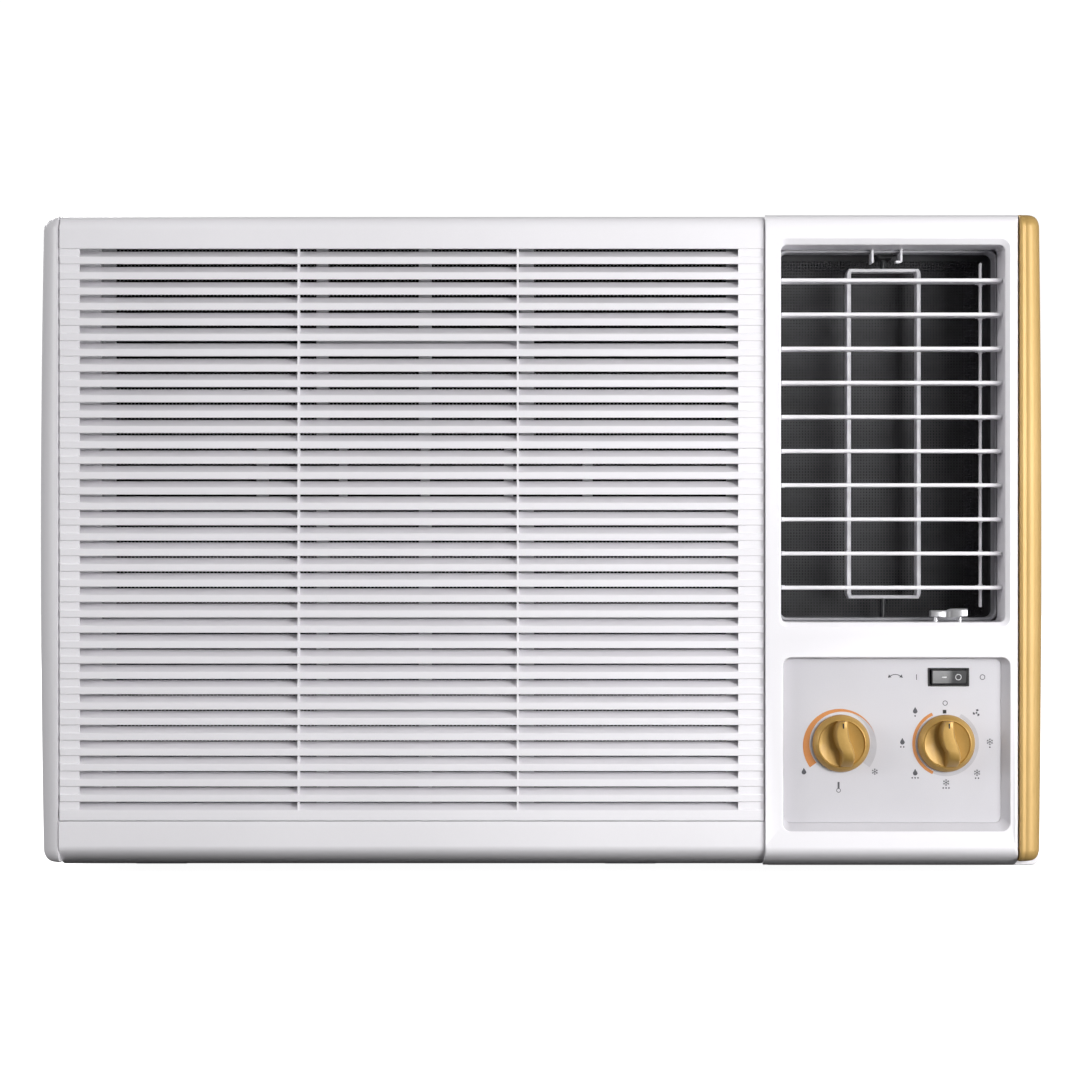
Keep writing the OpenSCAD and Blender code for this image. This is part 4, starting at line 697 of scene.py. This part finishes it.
def printed(outline, lift=0.08):
    """A flat printed mark from an outline of (x, z) points."""
    return loft([[(x, f, z) for x, z in outline] for f in (plate_f - lift, plate_f + 0.02)])


def clock(cx, cz, r, turn):
    """A point at a radius and an angle turned clockwise from the top."""
    return cx + r * math.sin(math.radians(turn)), cz + r * math.cos(math.radians(turn))


def band(cx, cz, r, turn0, turn1, wide0, wide1, n=40, lift=0.08):
    """A curved band inside radius r whose width runs from one value to another."""
    turns = [(i / n, turn0 + (turn1 - turn0) * i / n) for i in range(n + 1)]
    outer = [clock(cx, cz, r, turn) for _, turn in turns]
    inner = [clock(cx, cz, r - wide0 - (wide1 - wide0) * u, turn) for u, turn in reversed(turns)]
    return printed(outer + inner, lift)


def stroke(x0, z0, x1, z1, wide):
    """A straight line of a given width."""
    dx, dz = x1 - x0, z1 - z0
    size = math.hypot(dx, dz)
    nx, nz = -dz / size * wide / 2, dx / size * wide / 2
    return printed([(x0 + nx, z0 + nz), (x1 + nx, z1 + nz), (x1 - nx, z1 - nz), (x0 - nx, z0 - nz)])


def ring_mark(cx, cz, r, wide):
    """A thin circle in two half bands."""
    return [band(cx, cz, r, a, a + 180, wide, wide, 16) for a in (0, 180)]


def snowflake(cx, cz, r):
    """Three crossed lines with small barbs."""
    marks = []
    for a in (0, 60, 120):
        (xa, za), (xb, zb) = clock(cx, cz, r, a), clock(cx, cz, r, a + 180)
        marks.append(stroke(xa, za, xb, zb, 0.34))
        for end in (a, a + 180):
            stem = clock(cx, cz, r * 0.55, end)
            marks += [stroke(*stem, *clock(*stem, r * 0.38, end + t), 0.3) for t in (-45, 45)]
    return marks


def flame(cx, cz, r):
    """A drop-shaped flame."""
    right = [(0.0, 1.15), (0.35, 0.55), (0.72, 0.0), (0.78, -0.45), (0.45, -0.85), (0.0, -1.0)]
    left = [(-0.9 * x, z) for x, z in reversed(right[1:-1])]
    return [printed([(cx + r * x, cz + r * z) for x, z in right + left])]


def fan_mark(cx, cz, r):
    """Three swept blades round a hub."""
    marks = [printed([clock(cx, cz, r * 0.25, t) for t in range(0, 360, 40)])]
    blade = ((0.35, 0), (0.8, -12), (1.0, 12), (0.95, 42), (0.6, 40))
    for a in (0, 120, 240):
        marks.append(printed([clock(cx, cz, r * q, a + t) for q, t in blade]))
    return marks


def steps(cx, cz, count):
    """One to three dots under a sign."""
    places = [cx + (i - (count - 1) / 2) * 1.9 for i in range(count)]
    return [printed([clock(x, cz, 0.55, t) for t in range(0, 360, 30)]) for x in places]


def middle(node):
    """The middle of a node's box."""
    return [(a + b) / 2 for a, b in zip(*span(node))]


kx_mode, _, kz = middle("mode_knob")
kx_thermo = middle("thermostat_knob")[0]
build("thermostat_warm_band", "chassis", "control_face", orange_ink,
      *band(kx_thermo - 0.8, kz - 1.6, 24.4, -126, 70, 5.3, 0.05, lift=0.13))
build("thermostat_cool_band", "chassis", "control_face", grey_ink,
      *band(kx_thermo - 0.8, kz - 1.6, 24.4, -18, 126, 0.05, 5.3))
build("mode_warm_band", "chassis", "control_face", orange_ink, *band(kx_mode, kz, 22.4, -156, -25, 2.1, 2.1))
build("mode_cool_band", "chassis", "control_face", grey_ink, *band(kx_mode, kz, 21.8, 27, 204, 2.3, 2.3))
off_x0, off_x1, off_z0, off_z1 = kx_mode - 2.2, kx_mode + 0.2, kz + 19.7, kz + 22.1
build("off_mark", "chassis", "control_face", black_ink,
      *printed([(off_x0, off_z0), (off_x1, off_z0), (off_x1, off_z1), (off_x0, off_z1)]))
signs = ring_mark(kx_mode - 0.6, kz + 26.6, 1.7, 0.45)
signs += fan_mark(*clock(kx_mode, kz, 28.5, 45), 2.6)
for turn, count in ((90, 1), (135, 2), (180, 3)):
    x, z = clock(kx_mode, kz, 29.0 if turn != 180 else 27.0, turn)
    signs += snowflake(x, z + 1.0, 2.3) + steps(x, z - 2.6, count)
for turn, count in ((225, 3), (270, 2), (315, 1)):
    x, z = clock(kx_mode, kz, 29.0, turn)
    signs += flame(x, z + 1.2, 2.1) + steps(x, z - 2.4, count)
signs += flame(kx_thermo - 24.6, kz - 18.6, 2.1) + snowflake(kx_thermo + 22.4, kz - 18.8, 2.2)
bulb_x = kx_thermo - 1.6
signs += ring_mark(bulb_x, kz - 31.2, 1.5, 0.45)
signs.append(stroke(bulb_x, kz - 30.0, bulb_x, kz - 25.6, 1.3))
(bx0, _, bz0), (bx1, rock_back, bz1) = span("rocker_housing")
rx, _, rz = middle("rocker_housing")
signs.append(stroke(rx - 21.2, rz - 1.8, rx - 21.2, rz + 1.8, 0.5))
signs += ring_mark(rx + 22.5, rz, 1.8, 0.45)
swing_x, swing_z = rx - 35.2, rz - 4.2
signs.append(band(swing_x, swing_z, 6.2, -38, 38, 0.5, 0.5, 16))
for side in (-1, 1):
    tip_x, tip_z = clock(swing_x, swing_z, 6.0, side * 38)
    signs.append(printed([(tip_x + side * x, tip_z + z) for x, z in ((1.3, -1.0), (0.5, 1.3), (-1.1, -0.6))]))
build("control_signs", "chassis", "control_face", ink, *merge(signs))

housing = four_bars((bx0, plate_f - 0.7, bz0), (bx1, plate_f + 3, bz1), 1.35, 0.4)
housing += four_bars((bx0 + 0.1, plate_f + 2.9, bz0 + 0.1), (bx1 - 0.1, rock_back, bz1 - 0.1), 0.9, 0.2)
housing.append(slab((bx0 + 0.6, rock_back - 6, bz0 + 0.6), (bx1 - 0.6, rock_back - 0.2, bz1 - 0.6), 0.3))
build("rocker_housing_frame", "chassis", "black_plastic", black_abs, *merge(housing), replaces=("rocker_housing",))

button_black = finish_of("gloss_black_nylon", "#39393B", "#303032", 0.3, 0.6, 0.008, patch_mm=12)
half_h = (span("rocker_button")[1][2] - span("rocker_button")[0][2]) / 2 - 1.0
half_b, proud = 11.9, 4.6


def on_button(x, y, z):
    """A point of the button, tilted to its rest angle about its pivot."""
    c, d = math.cos(math.radians(7)), math.sin(math.radians(7))
    return rx + x * c - y * d, plate_f + 3 + x * d + y * c, rz + z


def dished(x):
    """Depth of the button's face behind its pivot (so negative), hollowed by 1.2 mm in the middle."""
    return 1.2 * (1 - abs(x) / half_b) ** 1.1 - proud


rows = []
for z, inset in ((-half_h, 0.6), (-half_h + 0.3, 0.15), (-half_h + 0.8, 0.0),
                 (half_h - 0.8, 0.0), (half_h - 0.3, 0.15), (half_h, 0.6)):
    edge = half_b - inset
    outline = [(-edge, -4.2), (0.5 - edge, inset - proud)] + [(x, dished(x) + inset) for x in range(-9, 10, 3)]
    outline += [(edge - 0.5, inset - proud), (edge, -4.2), (edge, 0), (6, 4.4), (-6, 4.4), (-edge, 0)]
    rows.append([on_button(x, y, z) for x, y in outline])
button = [loft(rows), tube_along([on_button(0, 0, -half_h - 0.9), on_button(0, 0, half_h + 0.9)], 0.98, 16)]
build("rocker_button_moulding", "rocker", "black_plastic", button_black, *merge(button), replaces=("rocker_button",))


def on_face(x, z, lift):
    """A point on the button's face."""
    return on_button(x, dished(x) - lift, z)


def face_mark(outer, inner):
    """A mark between two equal loops of points on the button's face."""
    return grid([[on_face(x, z, -0.05) for x, z in outer], [on_face(x, z, 0.06) for x, z in outer],
                 [on_face(x, z, 0.06) for x, z in inner], [on_face(x, z, -0.05) for x, z in inner]], closed=True)


circle = [(math.cos(math.radians(a)), math.sin(math.radians(a))) for a in range(0, 360, 15)]
o_mark = face_mark([(6.1 + 2.1 * c, 2.1 * d) for c, d in circle], [(6.1 + 1.6 * c, 1.6 * d) for c, d in circle])
dash_line = ((-5.0, -0.4), (-1.7, -0.4), (-1.7, 0.4), (-5.0, 0.4))
dash = loft([[on_face(x, z, lift) for x, z in dash_line] for lift in (-0.05, 0.06)])
build("rocker_signs", "rocker", "black_plastic", pale_ink, *merge([o_mark, dash]))

# ---- Knobs ----------------------------------------------------------------------------------
# Gold coated knobs: a rolled rim, a shallow dished face and a swept finger grip that slopes down
# to the face at its lower end. Each is pressed on the end of a steel stem.
knob_gold = finish_of("gold_coated_knob", "#BE9852", "#B38D49", 0.45, 1.0, 0.012, metallic=0.35, patch_mm=26, coat=0.1)


def smooth_between(points):
    """Points on a smooth curve through the given ones, five to each stretch."""
    out = []
    for i in range(len(points) - 1):
        near = [points[max(0, min(len(points) - 1, i + k))] for k in (-1, 0, 1, 2)]
        for t in (0.0, 0.2, 0.4, 0.6, 0.8):
            out.append(tuple(b + 0.5 * t * (c - a + t * (2 * a - 5 * b + 4 * c - d + t * (3 * b - a - 3 * c + d)))
                             for a, b, c, d in zip(*near)))
    return out + [points[-1]]


def grip_knob(name, body, node, cx):
    """A lathe-turned rim and face with the swept grip on it."""
    rim = [(3.2, 6.4), (18.4, 6.5), (19.0, 6.0), (19.0, 5.0), (18.6, 3.9), (17.9, 2.6), (17.0, 1.4), (16.2, 0.6),
           (15.8, 0.25), (15.5, 0.25), (15.2, 0.6), (14.9, 1.1), (12.5, 1.6), (9.0, 2.0), (5.0, 2.3), (0.4, 2.4)]
    turns = [2 * math.pi * k / 72 for k in range(72)]
    turned = loft([[(cx + r * math.cos(t), f, kz + r * math.sin(t)) for t in turns] for r, f in rim])
    # Left and right edges of the grip from its top end down, with the height of its back.
    stations = smooth_between([
        (-2.2, 15.0, 3.2, 15.0, -9.0), (-4.2, 11.0, 3.2, 11.2, -9.6), (-4.8, 5.0, 4.2, 4.0, -9.7),
        (-3.2, -1.0, 6.4, -2.0, -9.7), (-0.8, -5.6, 7.6, -7.2, -9.5), (-0.2, -9.6, 7.5, -10.6, -8.2),
        (-0.9, -13.0, 7.1, -13.2, -4.6), (-1.2, -15.4, 6.8, -15.0, -0.6)])
    rows = []
    for xl, zl, xr, zr, back in stations:
        wide = math.hypot(xr - xl, zr - zl)
        ux, uz = (xr - xl) / wide, (zr - zl) / wide
        flank = [(-0.9, 3.6), (-0.1, back + 2.2), (0.25, back + 1.0), (1.0, back + 0.2)]
        ridge = flank + [(wide / 2, back)] + [(wide - t, f) for t, f in reversed(flank)]
        rows.append([(cx + xl + ux * t, min(f, 3.6), kz + zl + uz * t) for t, f in ridge])
    pointer = slab((cx - 0.3, -9.95, kz + 10.6), (cx + 0.5, -9.2, kz + 14.0), 0.2)
    build(name, body, "gold_trim", knob_gold, *merge([turned, loft(rows)]), replaces=(node,), smooth_deg=42)
    build(name + "_pointer", body, "gold_trim", black_ink, *pointer)


grip_knob("thermostat_knob_moulding", "thermostat_control", "thermostat_knob", kx_thermo)
grip_knob("mode_knob_moulding", "mode_control", "mode_knob", kx_mode)

# ---- Camera, light and floor ----------------------------------------------------------------
# A level camera 2.1 m in front of the fascia. A soft key light stands at the front right, with a
# far fill on the left, a light at the right edge and a fill behind. The room is brighter above,
# and the floor gives little light back, so the rolled lower edge goes dark.
camera_data = bpy.data.cameras.new("camera")
camera = bpy.data.objects.new("camera", camera_data)
bpy.context.scene.collection.objects.link(camera)
camera_distance, eye_height, view_width, sensor_width = 2100.0, 223.7, 712.8, 36
camera.location = (-0.0003, (face_y - camera_distance) / 1000, eye_height / 1000)
camera.rotation_euler = (math.radians(90), 0, 0)
camera_data.sensor_width = sensor_width
camera_data.lens = sensor_width * camera_distance / view_width
bpy.context.scene.camera = camera
bpy.context.scene.view_settings.view_transform = "Standard"


def soft_light(name, place, aim, size, power):
    """A white square light turned towards a point, all in metres and watts."""
    data = bpy.data.lights.new(name, "AREA")
    data.size, data.energy = size, power
    light = bpy.data.objects.new(name, data)
    light.location = place
    light.rotation_euler = (Vector(aim) - Vector(place)).to_track_quat("-Z", "Y").to_euler()
    bpy.context.scene.collection.objects.link(light)


soft_light("key_front_right", (1.15, -1.6, 0.2), (0.12, -0.3, 0.22), 1.0, 41)
soft_light("far_left_fill", (-4.0, -2.1, 1.0), (0.1, -0.3, 0.25), 1.6, 62)
soft_light("right_edge_strip", (2.1, -0.5, 0.22), (0.33, -0.33, 0.24), 0.8, 9)
soft_light("rear_fill", (-1.5, 2.6, 1.8), (0, 0.2, 0.2), 1.6, 60)

room = bpy.data.worlds.new("room")
bpy.context.scene.world = room
room.use_nodes = True
backdrop = room.node_tree.nodes["Background"]
backdrop.inputs["Color"].default_value = (1, 1, 1, 1)
direction = add(room, "ShaderNodeTexCoord").outputs["Generated"]
height = add(room, "ShaderNodeSeparateXYZ", None, Vector=direction).outputs["Z"]
brighter_above = {"From Min": -0.15, "From Max": 0.35, "To Min": 0.06, "To Max": 0.30}
sky = add(room, "ShaderNodeMapRange", brighter_above, Value=height)
seen = add(room, "ShaderNodeLightPath").outputs["Is Camera Ray"]
level = add(room, "ShaderNodeMix", {"data_type": "FLOAT", "B": 1.05}, Factor=seen, A=sky.outputs["Result"])
room.node_tree.links.new(level.outputs["Result"], backdrop.inputs["Strength"])

floor_mat = bpy.data.materials.new("pale_studio_floor")
floor_mat.use_nodes = True
floor_tree = floor_mat.node_tree
pale = add(floor_mat, "ShaderNodeEmission", {"Color": (1, 1, 1, 1), "Strength": 0.95})
matt = add(floor_mat, "ShaderNodeBsdfDiffuse", {"Color": (0.8, 0.8, 0.8, 1)})
lit = floor_tree.nodes.new("ShaderNodeAddShader")
floor_tree.links.new(pale.outputs[0], lit.inputs[0])
floor_tree.links.new(matt.outputs[0], lit.inputs[1])
dim = add(floor_mat, "ShaderNodeBsdfDiffuse", {"Color": (0.05, 0.05, 0.05, 1)})
choose = floor_tree.nodes.new("ShaderNodeMixShader")
floor_tree.links.new(add(floor_mat, "ShaderNodeLightPath").outputs["Is Camera Ray"], choose.inputs[0])
floor_tree.links.new(dim.outputs[0], choose.inputs[1])
floor_tree.links.new(lit.outputs[0], choose.inputs[2])
floor_tree.links.new(choose.outputs[0], floor_tree.nodes["Material Output"].inputs["Surface"])
bpy.ops.mesh.primitive_plane_add(size=14, location=(0, 0, -0.0005))
floor = bpy.context.object
floor.name = "studio_floor"
floor.data.materials.append(floor_mat)
